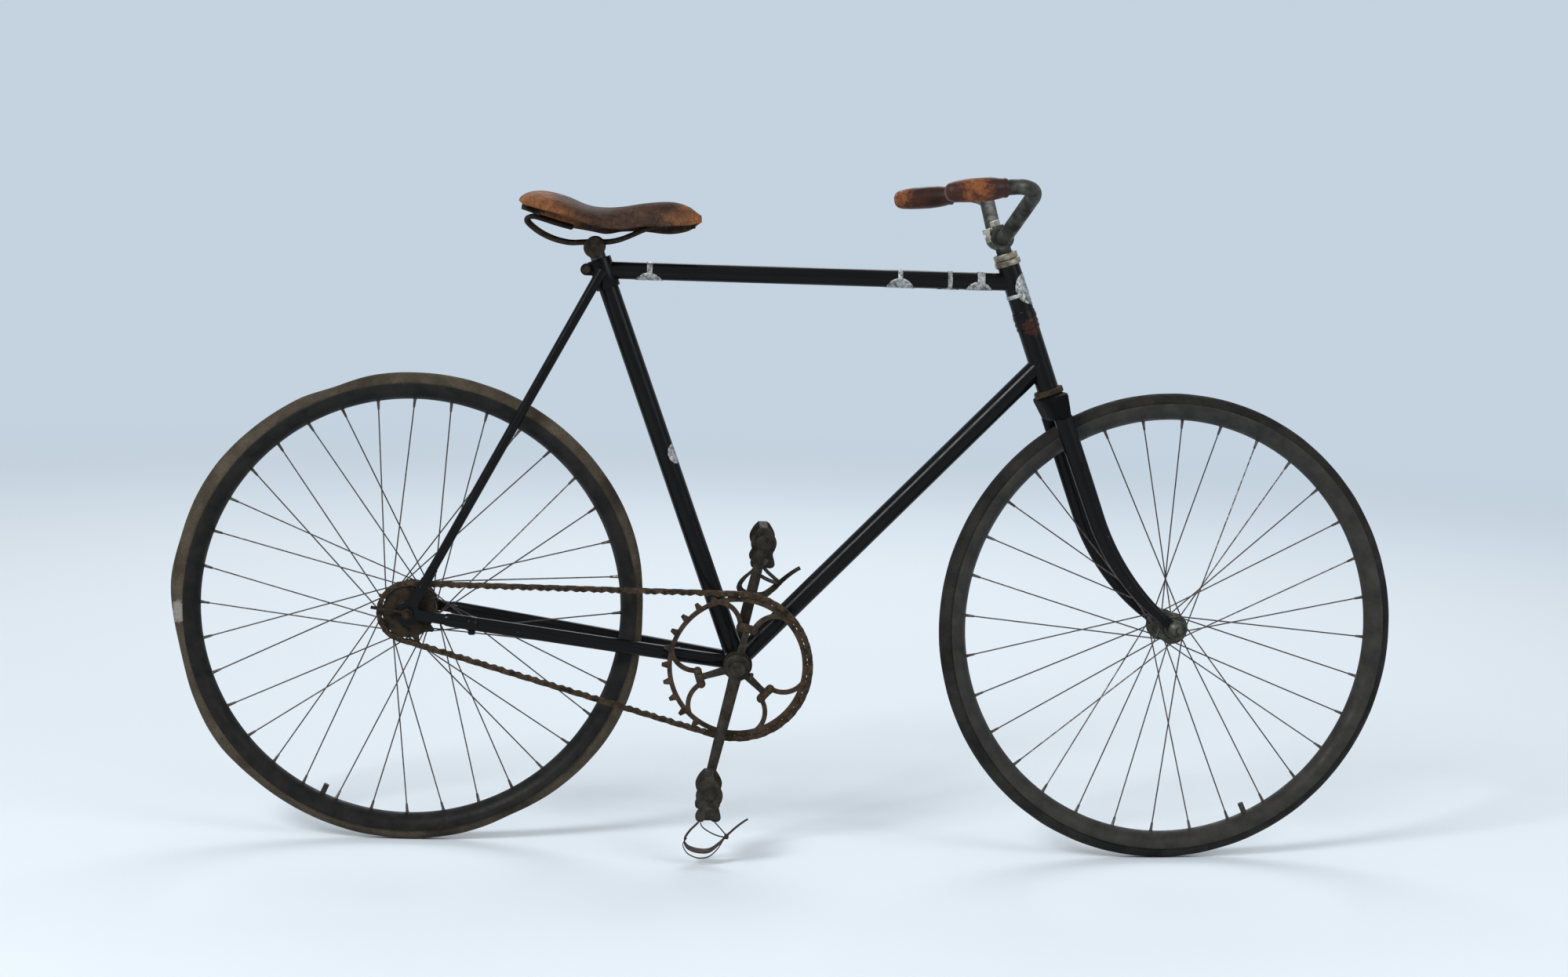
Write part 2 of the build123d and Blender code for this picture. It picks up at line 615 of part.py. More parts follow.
with BuildPart() as fork_tips:
    for name, side in SIDES:
        tip_top = STEER.to_local_coords(bend_point(side, BEND_TURN)) - Vector(FORK_RAKE, 0, -FORK_DROP)
        tip_slant = degrees(atan2(tip_top.Z, tip_top.X))
        tip_face = (FORK_RAKE, side * TIP_MIDDLE + END_PLATE / 2, -FORK_DROP)
        with BuildSketch(turned_plane(tip_face, (1, 0, 0), (0, -1, 0))):
            Circle(TIP_EYE_SIZE / 2)
            with Locations(Location((0, 0, 0), (0, 0, tip_slant))):
                Rectangle(TIP_LENGTH + STAY_LAP, TIP_WIDTH, align=(Align.MIN, Align.CENTER))
            Circle(AXLE_SIZE / 2, mode=Mode.SUBTRACT)
        extrude(amount=END_PLATE)
write(fork_tips, "fork_tips")

for name, side in SIDES:
    with BuildPart() as fork_blade:
        add(taper(blade_point(side, 0, -BLADE_LAP), blade_point(side, 0, BLADE_STRAIGHT), BLADE_SIZES))
        add(fork_crown.part, mode=Mode.SUBTRACT)
        with BuildLine() as bend:
            ThreePointArc(bend_point(side, 0), bend_point(side, BEND_TURN / 2), bend_point(side, BEND_TURN))
        with BuildSketch(Plane(origin=bend.line @ 0, z_dir=bend.line % 0)):
            Circle(BLADE_SIZES[1] / 2)
        sweep()
        add(fork_tips.part, mode=Mode.SUBTRACT)
    write(fork_blade, f"fork_blade_{name}")

axle_set("front", FRONT_AXLE, STEER_LEFT, FRONT_SPACING, True)

# Stem with its bar lug and clamp bolt
LUG_ENDS = [turned(0, side * BAR_LUG_WIDTH / 2, BAR_HEIGHT) for side in (-1, 1)]
LUG_TOP = BAR_HEIGHT + BAR_LUG_SIZE / 2 + STEM_CAP
with BuildPart() as stem:
    add(core(STEM_FOOT, turned(0, 0, LUG_TOP), STEM_SIZE))
    add(core(*LUG_ENDS, BAR_LUG_SIZE))
    add(core(*LUG_ENDS, BAR_SIZE), mode=Mode.SUBTRACT)
write(stem, "stem")

with BuildPart() as stem_bolt:
    with BuildSketch(turned_plane((0, 0, LUG_TOP), (1, 0, 0), (0, 0, 1))):
        RegularPolygon(STEM_BOLT_SIZE / 2, 6)
    extrude(amount=STEM_BOLT_HEIGHT)
write(stem_bolt, "stem_bolt")

# Handlebar: swept forward and up, then back to the grips
# columns: ahead of the stem, left, above the clamp, bend radius
BAR_ROUTE = (
    (-88, 172, 93, 0),
    (40, 168, 62, 34),
    (0, 26, 0, 34),
    (0, -26, 0, 34),
    (40, -168, 62, 34),
    (-88, -172, 93, 0),
)
bar_points = [turned(x, y, BAR_HEIGHT + z) for x, y, z, bend in BAR_ROUTE]
with BuildPart() as handlebar:
    with BuildLine() as route:
        FilletPolyline(*bar_points, radius=[row[3] for row in BAR_ROUTE[1:-1]])
    with BuildSketch(Plane(origin=route.line @ 0, z_dir=route.line % 0)):
        Circle(BAR_SIZE / 2)
    sweep()
write(handlebar, "handlebar")

# columns: share of the grip's length from the bar's end, radius
GRIP_PROFILE = ((1.0, 13.6), (0.84, 15.4), (0.5, 16.5), (0.18, 15.2), (0.0, 12.6))
BAR_ENDS = {"right": bar_points[-1:-3:-1], "left": bar_points[:2]}
for name, (end, knee) in BAR_ENDS.items():
    outward = (end - knee).normalized()
    with BuildPart() as grip:
        with BuildSketch(Plane(origin=end, x_dir=outward, z_dir=STEER.z_dir.cross(outward))):
            skin = [(-GRIP_LENGTH * share, radius) for share, radius in GRIP_PROFILE]
            cap = ((GRIP_CAP, BAR_SIZE / 2 - GRIP_CAP), (GRIP_CAP, 0), (0, 0))
            Polygon((-GRIP_LENGTH, BAR_SIZE / 2), *skin, *cap, (0, BAR_SIZE / 2), align=None)
        revolve(axis=Axis(end, outward))
    write(grip, f"grip_{name}")

# Wheels: columns are name, axle centre, left along the axle, ahead, axle spacing, spokes, crossings,
# flange size, flange spread, barrel size, valve angle from straight ahead, downwards
WHEELS = (
    ("front", FRONT_AXLE, STEER_LEFT, STEER.x_dir, FRONT_SPACING, FRONT_SPOKES, 3, 46.0, 56.0, 28.0, 85.0),
    ("rear", REAR_AXLE, LEFT, Vector(1, 0, 0), REAR_SPACING, REAR_SPOKES, 4, 74.0, 58.0, 34.0, 114.0),
)
# columns: share of the rim's depth from its crown to its edge, half width as a share of the tyre's
RIM_PROFILE = ((1.0, 1.16), (0.55, 1.08), (0.18, 0.74), (0.0, 0.3))
SECTION_MIDDLE = WHEEL_RADIUS - TYRE_SIZE / 2
RIM_INSIDE = SECTION_MIDDLE - RIM_DEPTH
SECTION_TURNS = [2 * pi * i / TYRE_SIDES for i in range(TYRE_SIDES)]
HALF_TYRE = TYRE_SIZE / 2
TYRE_SECTION = [(SECTION_MIDDLE + HALF_TYRE * sin(turn), HALF_TYRE * cos(turn)) for turn in SECTION_TURNS]
RIM_BED = TYRE_SECTION[TYRE_SIDES // 2:] + TYRE_SECTION[:1]
RIM_SKIN = [(RIM_INSIDE + RIM_DEPTH * share, HALF_TYRE * half) for share, half in RIM_PROFILE]
RIM_SECTION = RIM_BED + RIM_SKIN + [(radius, -half) for radius, half in reversed(RIM_SKIN)]

for name, centre, left, ahead, spacing, spokes, crossings, flange, spread, barrel, valve_angle in WHEELS:
    cross_plane = Plane(origin=centre, x_dir=ahead, z_dir=ahead.cross(left))
    wheel_plane = Plane(origin=centre, x_dir=ahead, z_dir=left)
    wheel_axis = Axis(centre, left)
    half_hub = spacing / 2 - CONE_LENGTH - HUB_PLAY

    with BuildPart() as tyre:
        with BuildSketch(cross_plane):
            Polygon(*TYRE_SECTION, align=None)
        revolve(axis=wheel_axis)
    write(tyre, f"{name}_tyre")

    valve_dir = ahead * cos(radians(valve_angle)) + left.cross(ahead) * sin(radians(valve_angle))
    valve_foot = centre + valve_dir * (RIM_INSIDE - VALVE_LENGTH)
    with BuildPart() as valve:
        add(core(valve_foot, centre + valve_dir * SECTION_MIDDLE, VALVE_SIZE))
        add(tyre.part, mode=Mode.SUBTRACT)
    write(valve, f"{name}_valve")

    with BuildPart() as rim:
        with BuildSketch(cross_plane):
            Polygon(*RIM_SECTION, align=None)
        revolve(axis=wheel_axis)
        add(valve.part, mode=Mode.SUBTRACT)
    write(rim, f"{name}_rim")

    with BuildPart() as hub:
        add(core(centre - left * half_hub, centre + left * half_hub, barrel))
        for side in (-1, 1):
            flange_face = centre + left * (side * spread / 2 - HUB_WALL / 2)
            add(core(flange_face, flange_face + left * HUB_WALL, flange))
        add(core(centre - left * spacing, centre + left * spacing, AXLE_SIZE + 2 * FIT), mode=Mode.SUBTRACT)
    write(hub, f"{name}_hub")

    pitch_radius = flange / 2 - SPOKE_INSET
    lean = crossings * 720 / spokes
    spoke_planes = []
    for i in range(spokes):
        flange_side = 1 if i % 2 else -1
        pull = 1 if i % 4 < 2 else -1
        rim_angle = radians(360 / spokes * i)
        hub_angle = rim_angle + radians(pull * lean)
        offset = flange_side * (spread / 2 + pull * (HUB_WALL + SPOKE_SIZE) / 2)
        foot = wheel_plane.from_local_coords(
            Vector(pitch_radius * cos(hub_angle), pitch_radius * sin(hub_angle), offset))
        head = wheel_plane.from_local_coords(
            Vector(RIM_INSIDE * cos(rim_angle), RIM_INSIDE * sin(rim_angle), 0))
        spoke_planes.append((Plane(origin=foot, z_dir=head - foot), (head - foot).length, pull))
    with BuildPart() as spoke_set:
        for pull in (-1, 1):
            row = [plane for plane, length, side in spoke_planes if side == pull]
            reach = [length for plane, length, side in spoke_planes if side == pull][0]
            with BuildSketch(*row):
                RegularPolygon(SPOKE_SIZE / 2, 6)
            extrude(amount=reach)
    write(spoke_set, f"{name}_spokes")

# Rear cog and its lock ring on the hub barrel
REAR_BARREL = WHEELS[1][9]


def pitch_radius_of(teeth):
    """Pitch radius of a sprocket for the block chain."""
    return CHAIN_PITCH / 2 / sin(pi / teeth)


def toothed_disc(teeth):
    """Sketch of a sprocket blank with its teeth, on the sketch plane in use."""
    root = pitch_radius_of(teeth) - BLOCK_HEIGHT / 2
    Circle(root)
    with PolarLocations(root, teeth):
        Polygon((-TOOTH_FOOT, -TOOTH_BASE / 2), (TOOTH_HEIGHT, -TOOTH_TIP / 2), (TOOTH_HEIGHT, TOOTH_TIP / 2),
                (-TOOTH_FOOT, TOOTH_BASE / 2), align=None)


TOOTH_FACE = CHAIN_LINE - TOOTH_WIDTH / 2
with BuildPart() as rear_cog:
    with BuildSketch(side_plane(REAR_AXLE, TOOTH_FACE)):
        toothed_disc(COG_TEETH)
        Circle(REAR_BARREL / 2, mode=Mode.SUBTRACT)
    extrude(amount=TOOTH_WIDTH)
write(rear_cog, "rear_cog")

with BuildPart() as cog_lock_ring:
    with BuildSketch(side_plane(REAR_AXLE, CHAIN_LINE + TOOTH_WIDTH / 2)):
        Circle(REAR_BARREL / 2 + LOCK_RING_WALL)
        Circle(REAR_BARREL / 2, mode=Mode.SUBTRACT)
    extrude(amount=LOCK_RING_WIDTH)
write(cog_lock_ring, "cog_lock_ring")

# Chainring: rim, teeth and three cross bars on the spider arms, each with two curved branches to the rim
RING_ROOT = pitch_radius_of(RING_TEETH) - BLOCK_HEIGHT / 2
RING_INSIDE = RING_ROOT - RING_RIM
ARM_ANGLES = [CRANK_ANGLE + 180 + 120 * i for i in range(3)]
# columns: distance from the axle, angle from the arm
BRANCH_ROUTE = ((ARM_LENGTH, 10.0), (0.83 * RING_INSIDE, 15.0), (RING_INSIDE + BRANCH_FOOT, 29.0))


def ring_point(radius, angle):
    """Point of the chainring's sketch by distance from the axle and angle."""
    return (radius * cos(radians(angle)), radius * sin(radians(angle)))


with BuildPart() as chainring:
    with BuildSketch(side_plane(BRACKET, TOOTH_FACE)):
        toothed_disc(RING_TEETH)
        Circle(RING_INSIDE, mode=Mode.SUBTRACT)
        for arm in ARM_ANGLES:
            for bow in (-1, 1):
                with BuildLine() as branch:
                    ThreePointArc(*[ring_point(radius, arm + bow * angle) for radius, angle in BRANCH_ROUTE])
                trace(branch.line, BRANCH_WIDTH)
            with Locations(Location((*ring_point(ARM_LENGTH, arm), 0), (0, 0, arm + 90))):
                SlotOverall(ARM_BAR_LENGTH, ARM_WIDTH)
    extrude(amount=TOOTH_WIDTH)
write(chainring, "chainring")

# Cranks, the right one with the spider
CRANK_DIRS = {-1: CRANK_ANGLE, 1: CRANK_ANGLE + 180}
ARM_FACE = CHAIN_LINE + TOOTH_WIDTH / 2
CRANK_OUTSIDE = CRANK_FACE + CRANK_THICKNESS
pedal_eyes = {}
for name, side in SIDES:
    swing = CRANK_DIRS[side]
    eye = Vector(CRANK_LENGTH * cos(radians(swing)), 0, CRANK_LENGTH * sin(radians(swing)))
    pedal_eyes[side] = BRACKET + eye
    inner = BRACKET + LEFT * side * BOSS_FACE
    with BuildPart() as crank:
        add(core(inner, BRACKET + LEFT * side * CRANK_OUTSIDE, CRANK_BOSS_SIZE))
        with BuildSketch(side_plane(BRACKET, -side * CRANK_FACE)):
            with Locations((eye.X, eye.Z)):
                Circle(CRANK_EYE_SIZE / 2)
            with Locations(Location((0, 0, 0), (0, 0, swing))):
                Polygon((0, -CRANK_WIDTHS[0] / 2), (CRANK_LENGTH, -CRANK_WIDTHS[1] / 2),
                        (CRANK_LENGTH, CRANK_WIDTHS[1] / 2), (0, CRANK_WIDTHS[0] / 2), align=None)
        extrude(amount=-side * CRANK_THICKNESS)
        if side < 0:
            with BuildSketch(side_plane(BRACKET, ARM_FACE)):
                for arm in ARM_ANGLES:
                    with Locations(Location((0, 0, 0), (0, 0, arm))):
                        Rectangle(ARM_LENGTH, ARM_WIDTH, align=(Align.MIN, Align.CENTER))
                    with Locations(ring_point(ARM_LENGTH, arm)):
                        Circle(ARM_WIDTH / 2)
                Circle(CRANK_BOSS_SIZE / 2)
            extrude(amount=ARM_WALL)
        for middle, size in ((BRACKET, CRANK_AXLE_SIZE), (pedal_eyes[side], PEDAL_SPINDLE_SIZE)):
            add(core(middle - LEFT * CRANK_OUTSIDE, middle + LEFT * CRANK_OUTSIDE, size), mode=Mode.SUBTRACT)
    write(crank, f"crank_{name}")

with BuildPart() as crank_axle:
    add(core(BRACKET - LEFT * CRANK_OUTSIDE, BRACKET + LEFT * CRANK_OUTSIDE, CRANK_AXLE_SIZE))
write(crank_axle, "crank_axle")

with BuildPart() as crank_nuts:
    for name, side in SIDES:
        with BuildSketch(Plane(origin=BRACKET + LEFT * side * CRANK_OUTSIDE, z_dir=LEFT * side)):
            Circle(CRANK_NUT_SIZE / 2)
        extrude(amount=CRANK_NUT_HEIGHT)
write(crank_nuts, "crank_nuts")

# Pedals hang from their spindles with the toe clips down
PEDAL_INSIDE = CRANK_OUTSIDE + PEDAL_GAP
PEDAL_OUTSIDE = PEDAL_INSIDE + PEDAL_WIDTH
with BuildPart() as pedal_spindles:
    for name, side in SIDES:
        spindle_ends = [pedal_eyes[side] + LEFT * side * reach for reach in (CRANK_FACE, PEDAL_OUTSIDE)]
        add(core(*spindle_ends, PEDAL_SPINDLE_SIZE))
write(pedal_spindles, "pedal_spindles")

# Toe clip: a wide band hangs from the pedal's lower plate and turns forward to a pin with two narrow straps
PLATE_FACE = -PEDAL_DEPTH / 2 - TOE_CLIP_WALL / 2
# columns: ahead, up from the spindle, bend radius
BAND_ROUTE = ((-8, PLATE_FACE, 0), (-25, PLATE_FACE - 6, 10), (-31, -92, 16), (2, -104, 18), (54, -44, 0))
STRAP_ROUTE = ((8, PLATE_FACE, 0), (20, PLATE_FACE - 8, 12), (32, -68.5, 0))
# columns: route, width, distances to the side
CLIP_BANDS = (
    (BAND_ROUTE, TOE_CLIP_WIDTH, (0,)),
    (STRAP_ROUTE, TOE_STRAP_WIDTH, (-TOE_STRAP_SPREAD, TOE_STRAP_SPREAD)),
)
HALF_CAGE = PEDAL_WIDTH / 2 - PEDAL_CAGE_WALL
HALF_CLIP = TOE_STRAP_SPREAD + TOE_STRAP_WIDTH / 2
for name, side in SIDES:
    middle = pedal_eyes[side] + LEFT * side * (PEDAL_INSIDE + PEDAL_WIDTH / 2)
    bore = core(middle - LEFT * PEDAL_WIDTH, middle + LEFT * PEDAL_WIDTH, PEDAL_SPINDLE_SIZE + 2 * FIT)
    with BuildPart() as pedal:
        for edge in (-1, 1):
            plate_middle = middle + Vector(0, 0, edge * (PEDAL_DEPTH - PEDAL_CAGE_WALL) / 2)
            with BuildSketch(Plane(origin=plate_middle)):
                Rectangle(PEDAL_CAGE_HEIGHT, PEDAL_WIDTH)
                with GridLocations(PEDAL_CAGE_HEIGHT, PEDAL_TOOTH_PITCH, 2, PEDAL_TEETH):
                    RegularPolygon(PEDAL_TOOTH_SIZE, 4, mode=Mode.SUBTRACT)
            extrude(amount=PEDAL_CAGE_WALL / 2, both=True)
        for end in (-PEDAL_WIDTH / 2, HALF_CAGE):
            with BuildSketch(side_plane(middle, end)):
                Rectangle(PEDAL_ARM_WIDTH, PEDAL_DEPTH - PEDAL_CAGE_WALL)
                Circle(PEDAL_BOSS_SIZE / 2)
            extrude(amount=PEDAL_CAGE_WALL)
        add(core(middle - LEFT * HALF_CAGE, middle + LEFT * HALF_CAGE, PEDAL_BARREL_SIZE))
        add(bore, mode=Mode.SUBTRACT)
    write(pedal, f"pedal_{name}")
    with BuildPart() as toe_clip:
        for rows, width, offsets in CLIP_BANDS:
            for offset in offsets:
                with BuildSketch(side_plane(middle, offset - width / 2)):
                    with BuildLine() as route:
                        FilletPolyline(*[row[:2] for row in rows], radius=[row[2] for row in rows[1:-1]])
                    trace(route.line, TOE_CLIP_WALL)
                extrude(amount=width)
        joint = middle + Vector(STRAP_ROUTE[-1][0], 0, STRAP_ROUTE[-1][1])
        add(core(joint - LEFT * HALF_CLIP, joint + LEFT * HALF_CLIP, TOE_PIN_SIZE))
    write(toe_clip, f"toe_clip_{name}")

# Block chain: solid blocks and pairs of side plates round both sprockets
RING_PITCH = pitch_radius_of(RING_TEETH)
COG_PITCH = pitch_radius_of(COG_TEETH)
CENTRES = (BRACKET - REAR_AXLE).length
CHAIN_SLANT = asin((RING_PITCH - COG_PITCH) / CENTRES)
LINE_ANGLE = atan2(BRACKET.Z - REAR_AXLE.Z, BRACKET.X - REAR_AXLE.X)
STRAIGHT_RUN = CENTRES * cos(CHAIN_SLANT)
RING_WRAP = RING_PITCH * (pi + 2 * CHAIN_SLANT)
COG_WRAP = COG_PITCH * (pi - 2 * CHAIN_SLANT)
CHAIN_LENGTH = 2 * STRAIGHT_RUN + RING_WRAP + COG_WRAP
LINKS = round(CHAIN_LENGTH / CHAIN_PITCH)
UPPER_NORMAL = LINE_ANGLE + pi / 2 + CHAIN_SLANT
LOWER_NORMAL = LINE_ANGLE - pi / 2 - CHAIN_SLANT


def on_circle(centre, radius, angle):
    """Chain place on a sprocket: position and heading, running clockwise."""
    point = (centre.X + radius * cos(angle), centre.Z + radius * sin(angle), 0)
    return Location(point, (0, 0, degrees(angle) - 90))


def chain_place(travel):
    """Place on the chain loop after a travel from the top of the cog."""
    if travel < STRAIGHT_RUN:
        start = on_circle(REAR_AXLE, COG_PITCH, UPPER_NORMAL)
        return start * Location((travel, 0, 0))
    travel -= STRAIGHT_RUN
    if travel < RING_WRAP:
        return on_circle(BRACKET, RING_PITCH, UPPER_NORMAL - travel / RING_PITCH)
    travel -= RING_WRAP
    if travel < STRAIGHT_RUN:
        start = on_circle(BRACKET, RING_PITCH, LOWER_NORMAL)
        return start * Location((travel, 0, 0))
    travel -= STRAIGHT_RUN
    return on_circle(REAR_AXLE, COG_PITCH, LOWER_NORMAL - travel / COG_PITCH)


# columns: share of a pitch, length, height, outer face, width
CHAIN_LAYERS = (
    (0.0, BLOCK_LENGTH, BLOCK_HEIGHT, -BLOCK_WIDTH / 2, BLOCK_WIDTH),
    (0.5, PLATE_LENGTH, PLATE_HEIGHT, BLOCK_WIDTH / 2, PLATE_WALL),
    (0.5, PLATE_LENGTH, PLATE_HEIGHT, -BLOCK_WIDTH / 2 - PLATE_WALL, PLATE_WALL),
)
with BuildPart() as chain:
    for share, length, height, face, width in CHAIN_LAYERS:
        with BuildSketch(Plane.XZ.offset(CHAIN_LINE + face)):
            with Locations(*[chain_place((i + share) * CHAIN_LENGTH / LINKS) for i in range(LINKS)]):
                Rectangle(length, height)
        extrude(amount=width)
    for centre, teeth in ((BRACKET, RING_TEETH), (REAR_AXLE, COG_TEETH)):
        with BuildSketch(side_plane(centre, CHAIN_LINE - TOOTH_WIDTH / 2 - TOOTH_ROOM)):
            Circle(pitch_radius_of(teeth) - BLOCK_HEIGHT / 2 + TOOTH_HEIGHT + TOOTH_ROOM)
        extrude(amount=TOOTH_WIDTH + 2 * TOOTH_ROOM, mode=Mode.SUBTRACT)
write(chain, "chain")
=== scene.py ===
"""Looks of an antique safety bicycle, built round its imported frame, in metres."""
import json
import math

import bpy
from mathutils import Matrix, Vector, noise


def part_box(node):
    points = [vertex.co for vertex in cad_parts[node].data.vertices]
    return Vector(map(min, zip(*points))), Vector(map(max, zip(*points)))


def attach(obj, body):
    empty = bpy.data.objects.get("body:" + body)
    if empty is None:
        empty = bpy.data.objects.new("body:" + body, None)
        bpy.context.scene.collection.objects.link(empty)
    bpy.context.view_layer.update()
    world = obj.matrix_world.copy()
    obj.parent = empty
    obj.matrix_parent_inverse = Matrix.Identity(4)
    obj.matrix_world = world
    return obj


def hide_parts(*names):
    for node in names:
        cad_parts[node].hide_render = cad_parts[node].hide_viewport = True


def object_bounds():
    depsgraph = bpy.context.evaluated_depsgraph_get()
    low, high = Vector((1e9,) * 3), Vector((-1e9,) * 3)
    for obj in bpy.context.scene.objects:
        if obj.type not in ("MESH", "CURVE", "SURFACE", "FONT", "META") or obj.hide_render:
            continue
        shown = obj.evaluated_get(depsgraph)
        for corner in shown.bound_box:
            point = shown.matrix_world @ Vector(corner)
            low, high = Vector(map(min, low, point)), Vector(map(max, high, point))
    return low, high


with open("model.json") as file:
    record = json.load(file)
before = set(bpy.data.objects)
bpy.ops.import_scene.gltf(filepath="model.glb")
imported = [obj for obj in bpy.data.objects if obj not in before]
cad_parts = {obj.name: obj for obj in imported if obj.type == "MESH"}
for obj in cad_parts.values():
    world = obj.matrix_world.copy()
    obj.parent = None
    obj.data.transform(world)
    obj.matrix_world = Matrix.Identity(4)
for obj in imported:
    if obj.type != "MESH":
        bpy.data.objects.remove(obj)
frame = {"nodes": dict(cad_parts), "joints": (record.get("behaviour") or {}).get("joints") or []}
CAD_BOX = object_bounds()
NODES = frame["nodes"]
JOINTS = {joint["name"]: joint for joint in frame["joints"]}
MM = 0.001

# Places and directions taken from the joints
LEFT = Vector((0, 1, 0))
AHEAD = Vector((1, 0, 0))
UP = Vector((0, 0, 1))
STEER_PLACE = Vector(JOINTS["steering"]["pos_m"])
STEER_UP = Vector(JOINTS["steering"]["axis"]).normalized()
STEER_LEFT = Vector(JOINTS["front_wheel_spin"]["axis"]).normalized()
STEER_AHEAD = STEER_LEFT.cross(STEER_UP).normalized()
FRONT_AXLE = Vector(JOINTS["front_wheel_spin"]["pos_m"])
REAR_AXLE = Vector(JOINTS["rear_wheel_spin"]["pos_m"])
BRACKET = Vector(JOINTS["crank_spin"]["pos_m"])
FLOOR = CAD_BOX[0].z

# Picture frame and camera of the photograph
IMAGE_WIDTH = 1999
FOCAL_PIXELS = 3816
SENSOR_WIDTH = 36.0
CAMERA_PLACE = Vector((0.143, -4.320, 0.064))
CAMERA_PITCH = math.radians(6.20)
CAMERA_YAW = math.radians(2.23)
CAMERA_ROLL = math.radians(1.84)


# Node materials
class Tree:
    """Node tree with a short way to add nodes."""

    def __init__(self, tree):
        self.nodes = tree.nodes
        self.links = tree.links

    def put(self, socket, value):
        """Link an output to an input socket, or set a constant there."""
        if hasattr(value, "is_output"):
            self.links.new(value, socket)
        else:
            socket.default_value = value

    def node(self, kind, output, inputs, **settings):
        """One output of a new node with its settings and inputs."""
        node = self.nodes.new("ShaderNode" + kind)
        for name, value in settings.items():
            setattr(node, name, value)
        for key, value in inputs.items():
            self.put(node.inputs[key], value)
        return node.outputs[output]

    def math(self, operation, first, second):
        """Sum, product or other arithmetic on two values."""
        return self.node("Math", 0, {0: first, 1: second}, operation=operation)

    def backdrop_rays(self):
        """1 for the rays that see the plain backdrop: camera, mirrored and transmitted rays."""
        seen, mirrored, through = [self.node("LightPath", f"Is {kind} Ray", {})
                                   for kind in ("Camera", "Glossy", "Transmission")]
        return self.math("MAXIMUM", self.math("MAXIMUM", seen, mirrored), through)


class Finish(Tree):
    """Node material with short helpers for its texture nodes."""

    def __init__(self, name):
        self.material = bpy.data.materials.new(name)
        self.material.use_nodes = True
        super().__init__(self.material.node_tree)
        self.shader = self.nodes["Principled BSDF"]
        self.place = self.node("TexCoord", "Object", {})

    def set(self, **values):
        """Values or outputs on the shader's own sockets; underscores stand for spaces."""
        for name, value in values.items():
            self.put(self.shader.inputs[name.replace("_", " ")], value)

    def stretched(self, *scales):
        """Object coordinates with a scale for each axis."""
        return self.node("Mapping", "Vector", {"Vector": self.place, "Scale": scales})

    def noise(self, scale, detail=4.0, rough=0.55, place=None):
        """Soft noise from 0 to 1, scale in repeats per metre."""
        return self.node("TexNoise", "Fac", {"Vector": place or self.place, "Scale": scale, "Detail": detail,
                                             "Roughness": rough})

    def cracks(self, scale, place=None):
        """Distance to the edges of irregular cells."""
        return self.node("TexVoronoi", "Distance", {"Vector": place or self.place, "Scale": scale},
                         feature="DISTANCE_TO_EDGE")

    def ramp(self, value, *stops):
        """Colour ramp through (position, colour or grey) stops."""
        node = self.nodes.new("ShaderNodeValToRGB")
        self.links.new(value, node.inputs["Fac"])
        band = node.color_ramp
        while len(band.elements) < len(stops):
            band.elements.new(0.5)
        for element, (position, colour) in zip(band.elements, stops):
            element.position = position
            grey = (colour, colour, colour) if isinstance(colour, (int, float)) else colour
            element.color = (*grey, 1.0)
        return node.outputs["Color"]

    def cloud(self, settings, *stops):
        """Colour ramp over soft noise."""
        return self.ramp(self.noise(*settings), *stops)

    def mix(self, share, *colours):
        """Blend of two colours."""
        first, second = [(*value, 1.0) if isinstance(value, tuple) else value for value in colours]
        return self.node("Mix", 2, {0: share, 6: first, 7: second}, data_type="RGBA")

    def near(self, centre, radius):
        """1 at a point, falling to 0 at a radius."""
        away = self.node("VectorMath", "Value", {0: self.place, 1: centre}, operation="DISTANCE")
        return self.node("MapRange", "Result", {"Value": away, "From Min": radius, "From Max": 0.0})

    def done(self, colour, rough, relief, strength, depth, **values):
        """Material with its colour, roughness, relief and constant values."""
        normal = self.node("Bump", "Normal", {"Height": relief, "Strength": strength, "Distance": depth})
        self.set(Base_Color=colour, Roughness=rough, Normal=normal, **values)
        return self.material


def black_enamel(name, chips=0.66, worn_at=(), gloss=0.11, dull=0.0):
    """Old stove enamel: glossy black with dust, fine scratches and chips down to brown primer."""
    finish = Finish(name)
    dust = finish.cloud((9, 6), (0.35, 0.0), (0.75, 0.22))
    coat = finish.mix(dust, (0.0035, 0.0036, 0.0042), (0.013, 0.012, 0.011))
    chipped = finish.cloud((95, 9, 0.7), (chips, 0.0), (chips + 0.025, 1.0))
    under = finish.cloud((300, 3), (0.35, (0.030, 0.016, 0.010)), (0.65, (0.085, 0.072, 0.058)))
    colour = finish.mix(chipped, coat, under)
    for centre, radius, tone in worn_at:
        patch = finish.math("MULTIPLY", finish.near(centre, radius), finish.noise(130, 7, 0.65))
        colour = finish.mix(finish.ramp(patch, (0.27, 0.0), (0.36, 1.0)), colour, tone)
    scratch = finish.noise(60, 5, 0.7, finish.stretched(0.25, 1.0, 1.0))
    rough = finish.ramp(scratch, (0.30, 0.12 + dull), (0.70, 0.34 + dull))
    return finish.done(colour, rough, finish.noise(70, 6, 0.6), 0.16, 0.0012, Specular_IOR_Level=gloss)


def tarnished_nickel(name, base, dirt, shine):
    """Dull plate with a greenish bronze tarnish and brown pits."""
    finish = Finish(name)
    cloud = finish.cloud((46, 7, 0.62), (0.36, 0.0), (0.62, 1.0))
    pits = finish.cloud((320, 5, 0.7), (0.58, 0.0), (0.68, 0.85))
    colour = finish.mix(pits, finish.mix(cloud, base, dirt), (0.060, 0.034, 0.018))
    rough = finish.ramp(cloud, (0.0, shine), (1.0, shine + 0.26))
    return finish.done(colour, rough, finish.noise(420, 5, 0.6), 0.20, 0.0008, Metallic=0.88)


